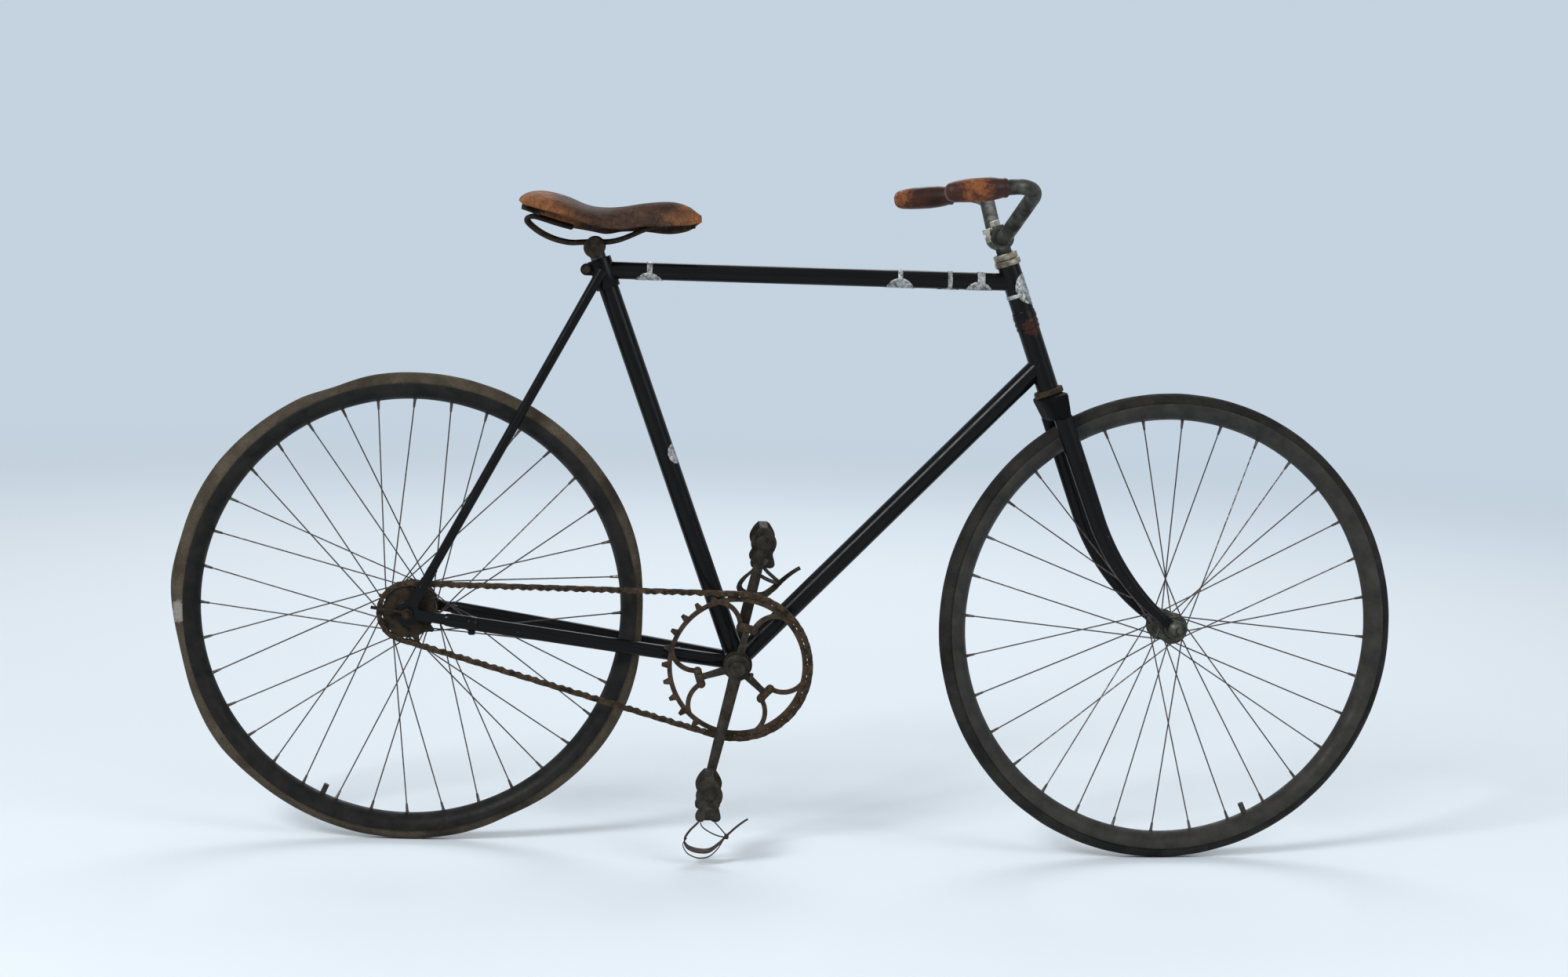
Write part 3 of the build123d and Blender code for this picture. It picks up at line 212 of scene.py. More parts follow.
def rusty_steel(name, light, dark, orange):
    """Brown rusted steel with darker scale and a few orange blooms."""
    finish = Finish(name)
    scale = finish.cloud((75, 8, 0.65), (0.35, dark), (0.62, light))
    bloom = finish.cloud((120, 6, 0.7), (0.57, 0.0), (0.70, 0.75))
    rough = finish.cloud((190, 4), (0.3, 0.52), (0.7, 0.86))
    return finish.done(finish.mix(bloom, scale, orange), rough, finish.noise(520, 7, 0.7), 0.42, 0.0012,
                       Metallic=0.30, Specular_IOR_Level=0.10)


def spoke_wire(name):
    """Dark drawn wire with rust speckles."""
    finish = Finish(name)
    speckle = finish.cloud((160, 5, 0.7), (0.42, 0.0), (0.62, 1.0))
    colour = finish.mix(speckle, (0.085, 0.080, 0.076), (0.055, 0.030, 0.019))
    rough = finish.ramp(speckle, (0.0, 0.34), (1.0, 0.66))
    return finish.done(colour, rough, finish.noise(700, 4), 0.2, 0.0005, Metallic=0.75)


def perished_rubber(name, base, worn, dark, pale_at=None):
    """Hardened rubber: mottled, dusty, with crazing, dark stains and at most one pale patch."""
    finish = Finish(name)
    mottle = finish.cloud((26, 8, 0.62), (0.34, base), (0.66, worn))
    stain = finish.cloud((11, 6, 0.6), (0.50, 0.0), (0.66, 0.75))
    crazed = finish.ramp(finish.cracks(170), (0.0, 0.55), (0.05, 0.0))
    colour = finish.mix(stain, mottle, dark)
    if pale_at:
        patch = finish.math("MULTIPLY", finish.near(pale_at, 0.030), finish.noise(90, 6, 0.65))
        colour = finish.mix(finish.ramp(patch, (0.20, 0.0), (0.28, 0.9)), colour, (0.27, 0.25, 0.22))
    rough = finish.cloud((60, 5), (0.3, 0.62), (0.7, 0.90))
    relief = finish.math("ADD", finish.noise(240, 7, 0.65), finish.math("MULTIPLY", finish.cracks(170), 2.0))
    return finish.done(finish.mix(crazed, colour, dark), rough, relief, 0.30, 0.0016, Specular_IOR_Level=0.06)


def worn_paint(name, base, streak, bare, bare_from):
    """Painted wooden rim: scuffed paint with long streaks and bare spots."""
    finish = Finish(name)
    coat = finish.cloud((38, 7, 0.6), (0.35, base), (0.68, streak))
    gone = finish.cloud((85, 8, 0.7), (bare_from, 0.0), (bare_from + 0.03, 1.0))
    rough = finish.cloud((70, 5), (0.3, 0.34), (0.7, 0.60))
    return finish.done(finish.mix(gone, coat, bare), rough, finish.noise(260, 6, 0.65), 0.22, 0.0010,
                       Specular_IOR_Level=0.09)


def old_leather(name, base, worn, dark, dark_from, shine):
    """Hide with grain, dark handled areas, scuffs and cracks."""
    finish = Finish(name)
    tone = finish.cloud((30, 7, 0.6), (0.36, base), (0.66, worn))
    handled = finish.cloud((17, 7, 0.62), (dark_from, 0.0), (dark_from + 0.14, 0.92))
    scuffed = finish.cloud((150, 8, 0.72), (0.58, 0.0), (0.68, 0.6))
    colour = finish.mix(scuffed, finish.mix(handled, tone, dark), worn)
    crack = finish.ramp(finish.cracks(120), (0.0, 0.7), (0.035, 0.0))
    rough = finish.ramp(handled, (0.0, shine + 0.2), (1.0, shine))
    grain = finish.math("ADD", finish.cracks(900), finish.math("MULTIPLY", finish.noise(140, 6), 1.2))
    return finish.done(finish.mix(crack, colour, dark), rough, grain, 0.35, 0.0010, Specular_IOR_Level=0.15)


def saddle_hide(name):
    """Orange hide, worn to dark brown over the middle and the top, with cracks and bare fibres at the edges."""
    finish = Finish(name)
    tone = finish.cloud((34, 8, 0.62), (0.34, (0.108, 0.042, 0.018)), (0.66, (0.31, 0.120, 0.044)))
    blotch = finish.noise(15, 8, 0.66, finish.stretched(1.0, 0.55, 1.6))
    worn = finish.math("ADD", finish.math("MULTIPLY", finish.near((0.062, 0.0, -0.010), 0.150), 0.62), blotch)
    dark = finish.ramp(worn, (0.56, 0.0), (0.80, 0.95))
    streak = finish.noise(70, 7, 0.7, finish.stretched(0.35, 1.0, 1.0))
    brown = finish.ramp(streak, (0.36, (0.018, 0.011, 0.009)), (0.66, (0.072, 0.043, 0.030)))
    fibre = finish.cloud((170, 9, 0.74), (0.57, 0.0), (0.67, 0.7))
    colour = finish.mix(fibre, finish.mix(dark, tone, brown), (0.17, 0.078, 0.036))
    cells = finish.cracks(75, finish.stretched(1.0, 0.45, 1.0))
    colour = finish.mix(finish.ramp(cells, (0.0, 0.85), (0.03, 0.0)), colour, (0.012, 0.007, 0.005))
    rough = finish.ramp(streak, (0.3, 0.58), (0.7, 0.82))
    return finish.done(colour, rough, finish.math("ADD", cells, streak), 0.45, 0.0012, Specular_IOR_Level=0.12)


def worn_grip(name, worn_at):
    """Dark polished grip cover, scuffed to orange and grey at the places given."""
    finish = Finish(name)
    shade = finish.cloud((24, 6, 0.6), (0.35, (0.016, 0.007, 0.005)), (0.68, (0.058, 0.017, 0.009)))
    flake = finish.noise(120, 8, 0.72)
    first, second = [finish.math("MULTIPLY", finish.near(*spot), flake) for spot in worn_at]
    bare = finish.math("MAXIMUM", first, second)
    colour = finish.mix(finish.ramp(bare, (0.24, 0.0), (0.36, 1.0)), shade, (0.21, 0.070, 0.024))
    colour = finish.mix(finish.ramp(bare, (0.40, 0.0), (0.44, 0.9)), colour, (0.30, 0.24, 0.21))
    rough = finish.ramp(bare, (0.15, 0.36), (0.32, 0.66))
    return finish.done(colour, rough, finish.math("ADD", flake, finish.noise(40, 4)), 0.16, 0.0010,
                       Specular_IOR_Level=0.20)


def silver_film(name):
    """Thin dull aluminium film, creased and soiled."""
    finish = Finish(name)
    soil = finish.cloud((170, 8, 0.75), (0.45, 0.0), (0.58, 0.92))
    colour = finish.mix(soil, (0.43, 0.44, 0.435), (0.085, 0.078, 0.068))
    rough = finish.ramp(soil, (0.0, 0.38), (1.0, 0.75))
    return finish.done(colour, rough, finish.noise(330, 5), 0.5, 0.0012, Metallic=0.55)


HEAD_MARK = STEER_PLACE + STEER_UP * 0.103 + AHEAD * 0.006 - LEFT * 0.012
ENAMEL = black_enamel("black_enamel", 0.68, ((HEAD_MARK, 0.036, (0.034, 0.0135, 0.009)),))
CROWN_ENAMEL = black_enamel("crown_enamel", 0.70, gloss=0.03, dull=0.42)
NICKEL = tarnished_nickel("tarnished_nickel", (0.088, 0.086, 0.072), (0.026, 0.027, 0.022), 0.44)
BRIGHT = tarnished_nickel("bright_nickel", (0.50, 0.46, 0.38), (0.14, 0.125, 0.095), 0.24)
BRONZE = tarnished_nickel("bronze_cup", (0.40, 0.36, 0.28), (0.10, 0.085, 0.060), 0.28)
RUST = rusty_steel("rusty_steel", (0.066, 0.045, 0.029), (0.019, 0.0145, 0.011), (0.105, 0.054, 0.025))
CAST = rusty_steel("worn_steel", (0.047, 0.040, 0.031), (0.017, 0.0145, 0.0115), (0.058, 0.037, 0.021))
DARK_RUST = rusty_steel("dark_rusty_steel", (0.038, 0.028, 0.019), (0.010, 0.0085, 0.007), (0.062, 0.032, 0.016))
WIRE = spoke_wire("spoke_wire")
REAR_RUBBER = perished_rubber("tan_tyre", (0.048, 0.039, 0.028), (0.088, 0.072, 0.051), (0.021, 0.018, 0.014),
                              (-0.5585, -0.014, -0.608))
FRONT_RUBBER = perished_rubber("dark_tyre", (0.017, 0.016, 0.0152), (0.030, 0.028, 0.026), (0.009, 0.0086, 0.008))
FRONT_RIM = worn_paint("worn_rim", (0.024, 0.023, 0.0215), (0.044, 0.041, 0.037), (0.10, 0.058, 0.034), 0.69)
REAR_RIM = worn_paint("black_rim", (0.0085, 0.0082, 0.0078), (0.019, 0.0175, 0.016), (0.075, 0.050, 0.030), 0.70)
HIDE = saddle_hide("saddle_leather")
GRIP_HIDE = worn_grip("grip_leather", (((0.553, -0.176, 0.036), 0.056), ((0.478, 0.160, 0.020), 0.045)))
FILM = silver_film("silver_film")
STRAP = old_leather("toe_strap", (0.026, 0.018, 0.013), (0.060, 0.038, 0.024), (0.010, 0.008, 0.007), 0.50, 0.40)

NODE_FINISHES = (
    (ENAMEL, "head_tube seat_tube top_tube down_tube seat_lug bracket_shell rear_fork_ends chain_stay_right "
             "chain_stay_left seat_stay_right seat_stay_left stay_bridges fork_blade_right fork_blade_left fork_tips "
             "stay_clip"),
    (CROWN_ENAMEL, "fork_crown"),
    (BRONZE, "head_cup_upper lock_nut"),
    (NICKEL, "stem handlebar seat_post front_axle front_axle_nuts front_hub front_valve rear_valve"),
    (BRIGHT, "stem_bolt"),
    (DARK_RUST, "saddle_clamp saddle_rails saddle_plates binder_bolt rear_axle rear_axle_nuts chain_adjusters rear_hub "
                "rear_cog cog_lock_ring crank_axle"),
    (RUST, "chain chainring toe_clip_right toe_clip_left head_cup_lower bracket_cups"),
    (CAST, "crank_right crank_left crank_nuts pedal_spindles pedal_right pedal_left"),
    (WIRE, "front_spokes rear_spokes"),
    (REAR_RUBBER, "rear_tyre"),
    (FRONT_RUBBER, "front_tyre"),
    (FRONT_RIM, "front_rim"),
    (REAR_RIM, "rear_rim"),
    (HIDE, "saddle_leather"),
    (GRIP_HIDE, "grip_right grip_left"),
)
for finish, names in NODE_FINISHES:
    for node in names.split():
        NODES[node].data.materials.clear()
        NODES[node].data.materials.append(finish)


# Meshes of the replaced and added pieces
SIDES = (("right", -1), ("left", 1))


def around(first, second, angle):
    """Direction at an angle from a first axis towards a second one."""
    return first * math.cos(angle) + second * math.sin(angle)


def oval(middle, across, beside, sides):
    """Closed row of points round a middle, on two half axes."""
    return [middle + around(across, beside, math.tau * j / sides) for j in range(sides)]


def heading(path, i):
    """Direction of a path at one of its points."""
    return (path[min(i + 1, len(path) - 1)] - path[max(i - 1, 0)]).normalized()


def smooth(points, parts=6):
    """Curve through rows of numbers, with extra rows between them."""
    rows = []
    for k in range(len(points) - 1):
        before, start = points[max(k - 1, 0)], points[k]
        end, after = points[k + 1], points[min(k + 2, len(points) - 1)]
        for step in range(parts):
            t = step / parts
            rows.append([0.5 * (2 * b + (c - a) * t + (2 * a - 5 * b + 4 * c - d) * t * t
                                + (3 * b - a - 3 * c + d) * t ** 3) for a, b, c, d in zip(before, start, end, after)])
    rows.append(list(points[-1]))
    return rows


def steered(ahead, left, up):
    """Point in the steering frame, in millimetres from the lower head cup."""
    return STEER_PLACE + (STEER_AHEAD * ahead + STEER_LEFT * left + STEER_UP * up) * MM


class Form:
    """Points and faces of one mesh in the making."""

    def __init__(self):
        self.points = []
        self.faces = []

    def grid(self, rows, loop=False, ring=True):
        """Skin over rows of points; rows close on themselves, and the last joins the first in a loop."""
        start, width = len(self.points), len(rows[0])
        for row in rows:
            self.points.extend(row)
        for i in range(len(rows) if loop else len(rows) - 1):
            here, there = start + i * width, start + (i + 1) % len(rows) * width
            for j in range(width if ring else width - 1):
                k = (j + 1) % width
                self.faces.append((here + j, here + k, there + k, there + j))
        if ring and not loop:
            self.faces.append(tuple(range(start + width - 1, start - 1, -1)))
            last = start + (len(rows) - 1) * width
            self.faces.append(tuple(range(last, last + width)))

    def tube(self, path, radius, sides):
        """Round bar along a path."""
        across = (path[1] - path[0]).orthogonal().normalized()
        rows = []
        for i, point in enumerate(path):
            run = heading(path, i)
            across = (across - run * across.dot(run)).normalized()
            rows.append(oval(point, across * radius, run.cross(across) * radius, sides))
        self.grid(rows)

    def lathe(self, centre, axis, profile, sides):
        """Turned form on an axis through (distance along, radius) pairs in millimetres."""
        across = axis.orthogonal().normalized()
        beside = axis.cross(across)
        self.grid([oval(centre + axis * along * MM, across * radius * MM, beside * radius * MM, sides)
                   for along, radius in profile])

    def slab(self, outline, rise, edge=0.12):
        """Plate of an outline with softened rims, raised by a vector."""
        middle = sum(outline, Vector()) / len(outline)
        inner = [middle + (point - middle) * (1 - edge) for point in outline]
        shares = ((inner, 0.0), (outline, 0.2), (outline, 0.8), (inner, 1.0))
        self.grid([[point + rise * share for point in row] for row, share in shares])

    def piece(self, name, finish, body, slot, *replaced, crease=38.0):
        """Finished object that rides on a body and stands for the CAD nodes named."""
        mesh = bpy.data.meshes.new(name)
        mesh.from_pydata(self.points, [], self.faces)
        mesh.shade_smooth()
        mesh.set_sharp_from_angle(angle=math.radians(crease))
        mesh.materials.append(finish)
        made = bpy.data.objects.new(name, mesh)
        bpy.context.scene.collection.objects.link(made)
        if replaced:
            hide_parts(*replaced)
        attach(made, body)
        return made


def thicken(made, wall, offset):
    """Thickness for a sheet, in millimetres."""
    modifier = made.modifiers.new("wall", "SOLIDIFY")
    modifier.thickness = wall * MM
    modifier.offset = offset


# Fork blades: oval tubes on the line of the CAD blades
FORK_RAKE = (FRONT_AXLE - STEER_PLACE).dot(STEER_AHEAD) / MM
FORK_DROP = (STEER_PLACE - FRONT_AXLE).dot(STEER_UP) / MM
CROWN_FOOT = -39.05
BLADE_SPREAD = 37.0
TIP_MIDDLE = 49.5
TIP_LENGTH = 24.0
BLADE_STRAIGHT = 150.0
BLADE_LAP = 1.5
BLADE_DROP = FORK_DROP + CROWN_FOOT
BLADE_RUN = math.hypot(BLADE_DROP, TIP_MIDDLE - BLADE_SPREAD)
BEND_RADIUS = (FORK_RAKE ** 2 + (BLADE_RUN - BLADE_STRAIGHT) ** 2) / (2 * FORK_RAKE)
BEND_LENGTH = 2 * math.atan(FORK_RAKE / (BLADE_RUN - BLADE_STRAIGHT)) * BEND_RADIUS - TIP_LENGTH
BLADE_STEPS = 40
BLADE_SIDES = 28
# size at the crown, what it loses evenly, and what it loses near the tip
BLADE_DEPTH = (27.5, 3.5, 9.5)
BLADE_WIDTH = (22.0, 6.0, 4.5)


def blade_half(sizes, share):
    """Half of a blade's depth or width at a share of its length, in metres."""
    start, even, late = sizes
    return (start - even * share - late * share ** 3) / 2 * MM


def make_blade(name, side):
    """One fork blade, deepest at the crown and thin at its tip."""
    path, rows = [], []
    for k in range(BLADE_STEPS + 1):
        run = (BLADE_STRAIGHT + BEND_LENGTH + BLADE_LAP) * k / BLADE_STEPS - BLADE_LAP
        turn = max(0.0, run - BLADE_STRAIGHT) / BEND_RADIUS
        share = (min(run, BLADE_STRAIGHT) + BEND_RADIUS * math.sin(turn)) / BLADE_RUN
        spread = BLADE_SPREAD + (TIP_MIDDLE - BLADE_SPREAD) * share
        path.append(steered(BEND_RADIUS * (1 - math.cos(turn)), side * spread, CROWN_FOOT - BLADE_DROP * share))
    for k, place in enumerate(path):
        run = heading(path, k)
        ahead = STEER_LEFT.cross(run).normalized()
        depth, width = [blade_half(sizes, k / BLADE_STEPS) for sizes in (BLADE_DEPTH, BLADE_WIDTH)]
        rows.append(oval(place, ahead * depth, run.cross(ahead) * width, BLADE_SIDES))
    blade = Form()
    blade.grid(rows)
    blade.piece(f"fork_blade_{name}_oval", ENAMEL, "steering", "black_enamel", f"fork_blade_{name}", crease=60)


# columns: height, length, width of the crown
CROWN_ROWS = ((-39.6, 22, 92), (-39.0, 27, 98), (-36.5, 30, 101), (-28, 33.5, 102), (-17, 37.5, 102), (-9.5, 40.5, 101),
              (-6.6, 39.5, 99), (-5.3, 35, 94), (-5.0, 29, 86))
CROWN_SIDES = 64
# powers of the crown's round outline, ahead and to the left; 1 is an ellipse
CROWN_POWERS = (0.72, 0.60)
STEERER_FOOT = ((-8, 12.0), (14, 12.0))


def bulge(wave, power):
    """Sine or cosine pushed out towards 1."""
    return math.copysign(abs(wave) ** power, wave)


def make_crown():
    """Forged crown with bulging sides, and the foot of the steerer."""
    rows = []
    for height, length, width in CROWN_ROWS:
        row = []
        for k in range(CROWN_SIDES):
            turn = math.tau * k / CROWN_SIDES
            ahead = bulge(math.cos(turn), CROWN_POWERS[0]) * length / 2
            row.append(steered(ahead, bulge(math.sin(turn), CROWN_POWERS[1]) * width / 2, height))
        rows.append(row)
    crown = Form()
    crown.grid(rows)
    crown.lathe(STEER_PLACE, STEER_UP, STEERER_FOOT, 32)
    crown.piece("fork_crown_forged", CROWN_ENAMEL, "steering", "black_enamel", "fork_crown", crease=50)


for name, side in SIDES:
    make_blade(name, side)
make_crown()

# Wheels: tyres with their swellings, deep rims, laced wire spokes with nipples, turned hubs
TYRE_MIDDLE = 326.0
HALF_TYRE = 16.0
TYRE_SIDES = 20
TYRE_WOBBLE = 0.35
WOBBLE_STEPS = (0.33, 0.4)
WOBBLE_SEEDS = {"front": 9.0, "rear": 3.0}
SIDE_SWELL = 0.25
RIM_INSIDE = 303.5
RING_STEPS = 216
# columns: angle from straight ahead, half width in degrees, swelling in millimetres
REAR_SWELLS = ((0, 14, -6), (110, 6, -4.0), (150, 20, 6.0), (175, 8, 5.0), (193, 7, -2.5), (216, 10, 4.0),
               (297, 8, -3.0), (328, 14, 2.5))
FRONT_SWELLS = ((35, 25, 0.8), (120, 18, -0.8), (200, 30, 0.8))
# half of the rim's section: distance from the axle, distance from the middle plane
RIM_HALF = ((309.6, 0), (310.9, 6.2), (314.5, 11.5), (320.0, 15.1), (326.0, 16.5), (327.3, 17.3), (327.2, 18.6),
            (325.8, 19.2), (323.6, 18.8), (319.0, 18.0), (313.5, 15.6), (308.6, 11.2), (305.2, 6.0), (303.6, 1.6))
RIM_LOOP = RIM_HALF + tuple((out, -half) for out, half in reversed(RIM_HALF[1:]))
# columns: centre, left, ahead, swells, spokes, crossings, flange size, flange spread
WHEELS = {
    "front": (FRONT_AXLE, STEER_LEFT, STEER_AHEAD, FRONT_SWELLS, 32, 3, 46.0, 56.0),
    "rear": (REAR_AXLE, LEFT, AHEAD, REAR_SWELLS, 36, 4, 74.0, 58.0),
}


def swelling(swells, degrees):
    """How far the tyre stands out at an angle, in millimetres."""
    total = 0.0
    for middle, half, height in swells:
        away = abs((degrees - middle + 180) % 360 - 180)
        total += height * math.exp(-(away / half) ** 2)
    return total


def make_tyre(name, finish, slot):
    """Round single-tube tyre, swollen where the rubber has perished."""
    centre, left, ahead, swells = WHEELS[name][:4]
    rows = []
    for i in range(RING_STEPS):
        degrees = 360 * i / RING_STEPS
        out = around(ahead, ahead.cross(left), math.radians(degrees))
        swell = swelling(swells, degrees)
        row = []
        for j in range(TYRE_SIDES):
            turn = math.tau * j / TYRE_SIDES
            spot = Vector((i * WOBBLE_STEPS[0], j * WOBBLE_STEPS[1], WOBBLE_SEEDS[name]))
            half = HALF_TYRE + TYRE_WOBBLE * noise.noise(spot)
            tread = 0.5 + 0.5 * math.sin(turn)
            rise = half * math.sin(turn) + swell * tread ** 2
            side = (half + SIDE_SWELL * swell * tread) * math.cos(turn)
            row.append(centre + out * (TYRE_MIDDLE + rise) * MM + left * side * MM)
        rows.append(row)
    form = Form()
    form.grid(rows, loop=True)
    form.piece(f"{name}_tyre_worn", finish, f"{name}_wheel", slot, f"{name}_tyre")


def make_rim(name, finish, slot):
    """Deep rounded rim with a rolled lip on each side of the tyre."""
    centre, left, ahead = WHEELS[name][:3]
    rows = []
    for i in range(RING_STEPS):
        out = around(ahead, ahead.cross(left), math.tau * i / RING_STEPS)
        rows.append([centre + (out * distance + left * half) * MM for distance, half in RIM_LOOP])
    form = Form()
    form.grid(rows, loop=True)
    form.piece(f"{name}_rim_deep", finish, f"{name}_wheel", slot, f"{name}_rim", crease=55)


SPOKE_RADIUS = 1.0
SPOKE_SIDES = 7
FLANGE_EDGE = 4
FLANGE_STEP = 2.5
# distances of a spoke's bent end: into the flange, to the bend's start, and past the bend
SPOKE_HOOK = (4.5, 0.6, 1.6)
SPOKE_HEAD_PLACE = 4.4
SPOKE_HEAD = ((0, 1.9), (0.8, 1.7), (1.3, 0.8))
NIPPLE = ((-2.0, 2.6), (0.6, 2.6), (2.0, 2.2), (11.5, 1.7), (12.8, 1.3))


def make_spokes(name):
    """Tangent spokes with bent heads in the flanges, and tapered nipples at the rim."""
    centre, left, ahead, _, spokes, crossings, flange, spread = WHEELS[name]
    down = left.cross(ahead)
    deep, start, past = SPOKE_HOOK
    wires, nipples = Form(), Form()
    for i in range(spokes):
        flange_side = 1 if i % 2 else -1
        pull = 1 if i % 4 < 2 else -1
        rim_turn = math.tau * i / spokes
        hub_turn = rim_turn + math.radians(pull * crossings * 720 / spokes)
        offset = flange_side * (spread / 2 + pull * FLANGE_STEP)
        foot = centre + (around(ahead, down, hub_turn) * (flange / 2 - FLANGE_EDGE) + left * offset) * MM
        head = centre + around(ahead, down, rim_turn) * RIM_INSIDE * MM
        run = (head - foot).normalized()
        inward = left * (-flange_side * pull)
        path = [foot + inward * deep * MM, foot + inward * start * MM, foot + run * past * MM,
                foot.lerp(head, 0.5), head]
        wires.tube(path, SPOKE_RADIUS * MM, SPOKE_SIDES)
        wires.lathe(foot + inward * SPOKE_HEAD_PLACE * MM, inward, SPOKE_HEAD, 8)
        nipples.lathe(head, -run, NIPPLE, 8)
    wires.piece(f"{name}_wires", WIRE, f"{name}_wheel", "spoke_wire", f"{name}_spokes")
    nipples.piece(f"{name}_nipples", WIRE, f"{name}_wheel", "tarnished_nickel")


def mirrored(profile):
    """Profile of a form that is the same at both ends, from its middle outwards."""
    return [(-along, radius) for along, radius in reversed(profile)] + list(profile)


# half profiles of the hubs from the middle plane: distance along the axle, radius
FRONT_HUB = ((0.1, 11.0), (12, 11.4), (20, 13.0), (25, 16.5), (26.2, 22.2), (27.0, 23.0), (29.0, 23.0), (29.8, 22.2),
             (30.6, 16.0), (34, 14.6), (38.5, 14.2), (39.6, 13.2), (40.0, 8.9))
REAR_HUB = ((0.1, 15.0), (14, 15.4), (22, 17.0), (26.2, 21.0), (27.2, 36.0), (28.0, 37.0), (30.0, 37.0), (30.8, 36.0),
            (31.6, 22.0), (34, 17.0), (48.5, 17.0), (50.0, 15.6), (50.4, 8.9))
FRONT_DOME = ((52.0, 5.0), (52.0, 13.4), (53.4, 13.8), (56.0, 12.6), (58.4, 10.0), (60.4, 6.6), (61.0, 4.9))
for name, profile, finish in (("front", FRONT_HUB, NICKEL), ("rear", REAR_HUB, DARK_RUST)):
    hub = Form()
    hub.lathe(WHEELS[name][0], WHEELS[name][1], mirrored(profile), 48)
    hub.piece(f"{name}_hub_turned", finish, f"{name}_wheel", "tarnished_nickel", f"{name}_hub", crease=30)
    make_spokes(name)
make_tyre("front", FRONT_RUBBER, "dark_tyre")
make_tyre("rear", REAR_RUBBER, "tan_tyre")
make_rim("front", FRONT_RIM, "worn_rim")
make_rim("rear", REAR_RIM, "black_enamel")
domes = Form()
for side in (-1, 1):
    domes.lathe(FRONT_AXLE, STEER_LEFT * side, FRONT_DOME, 32)
domes.piece("front_dome_nuts", NICKEL, "steering", "tarnished_nickel", "front_axle_nuts", crease=30)

# Saddle: arched hide, drooping lower on the far side, with a curled cantle and rivets
# columns: ahead, half width, middle height, right edge height, left edge height, flatness of the top
SADDLE_ROWS = (
    (-75, 62, 3, -2, -10, 0.50),
    (-66, 80, 8, -9, -17, 0.52),
    (-46, 90, 10, -13, -28, 0.55),
    (-16, 84, 4, -18, -38, 0.62),
    (16, 66, -8, -29, -43, 0.72),
    (42, 46, -11, -36, -46, 0.85),
    (68, 34, -9, -37, -42, 0.95),
    (102, 27, -3, -32, -41, 1.0),
    (138, 24, -0.5, -31, -43, 1.0),
    (160, 19, -6, -29, -38, 1.0),
    (173, 8, -15, -25, -28, 1.0),
    (178, 3, -18, -23, -24, 1.0),
)
SADDLE_STATIONS = 64
SADDLE_STEPS = 36
SADDLE_WALL = 4.0
# how far the hide stops short of its last station
SADDLE_REST = 0.01
# curl of the right edge: height, share where it starts, middle and reach along the saddle
CURL = (12.0, 0.75, -58, 40)
# ripple towards the edges: height, and steps of its noise
RIPPLE = (0.9, 0.045, 2.2, 1.7)
# columns: place ahead, bow, shares of the rivets in a row
RIVET_LINES = ((-67, 3, (-0.8, -0.48, -0.16, 0.16, 0.48, 0.8)), (158, 0, (-0.55, 0.0, 0.55)))
RIVET = ((-0.6, 3.6), (0.7, 3.4), (1.5, 2.2), (1.7, 0.4))
# steps ahead and across that give the slope under a rivet
RIVET_STEPS = (3, 0.06)


def saddle_value(column, ahead):
    """Smooth value of one saddle column at a station."""
    rows = SADDLE_ROWS
    k = max(i for i in range(len(rows) - 1) if rows[i][0] <= ahead)
    start, end = rows[k], rows[k + 1]
    before, after = rows[max(k - 1, 0)], rows[min(k + 2, len(rows) - 1)]
    step = (ahead - start[0]) / (end[0] - start[0])
    low = (end[column] - before[column]) / max(end[0] - before[0], 1) * (end[0] - start[0])
    high = (after[column] - start[column]) / max(after[0] - start[0], 1) * (end[0] - start[0])
    square, cube = step * step, step ** 3
    return ((2 * cube - 3 * square + 1) * start[column] + (cube - 2 * square + step) * low
            + (3 * square - 2 * cube) * end[column] + (cube - square) * high)


def saddle_point(ahead, share):
    """Point on the hide: share runs from -1 at the right edge to 1 at the left edge."""
    half, top, right, left, flat = [saddle_value(column, ahead) for column in range(1, 6)]
    turn = share * math.pi / 2
    drop = abs(math.cos(turn)) ** flat
    edge = right if share < 0 else left
    curl_height, curl_from, curl_middle, curl_reach = CURL
    curl = curl_height * max(0.0, -curl_from - share) * max(0.0, 1 - abs(ahead - curl_middle) / curl_reach)
    ripple = RIPPLE[0] * noise.noise(Vector((ahead * RIPPLE[1], share * RIPPLE[2], RIPPLE[3])))
    height = edge + (top - edge) * drop + ripple * abs(share) + curl
    return Vector((ahead, half * math.sin(turn), height)) * MM


def make_saddle():
    """Hide of the saddle as a sheet with a thickness, and its rivets."""
    form, rivets = Form(), Form()
    rows = []
    first, last = SADDLE_ROWS[0][0], SADDLE_ROWS[-1][0]
    for i in range(SADDLE_STATIONS + 1):
        ahead = first + (last - SADDLE_REST - first) * i / SADDLE_STATIONS
        rows.append([saddle_point(ahead, -1 + 2 * j / SADDLE_STEPS) for j in range(SADDLE_STEPS + 1)])
    form.grid(rows, ring=False)
    thicken(form.piece("saddle_hide", HIDE, "frame", "saddle_leather", "saddle_leather", crease=75), SADDLE_WALL, -1.0)
    for line, bow, shares in RIVET_LINES:
        for share in shares:
            ahead = line + bow * share * share
            spot = saddle_point(ahead, share)
            along = saddle_point(ahead + RIVET_STEPS[0], share) - spot
            across = saddle_point(ahead, share + RIVET_STEPS[1]) - spot
            out = along.cross(across).normalized()
            rivets.lathe(spot, out if out.z > 0 else -out, RIVET, 14)
    rivets.piece("saddle_rivets", DARK_RUST, "frame", "rusty_steel")


make_saddle()

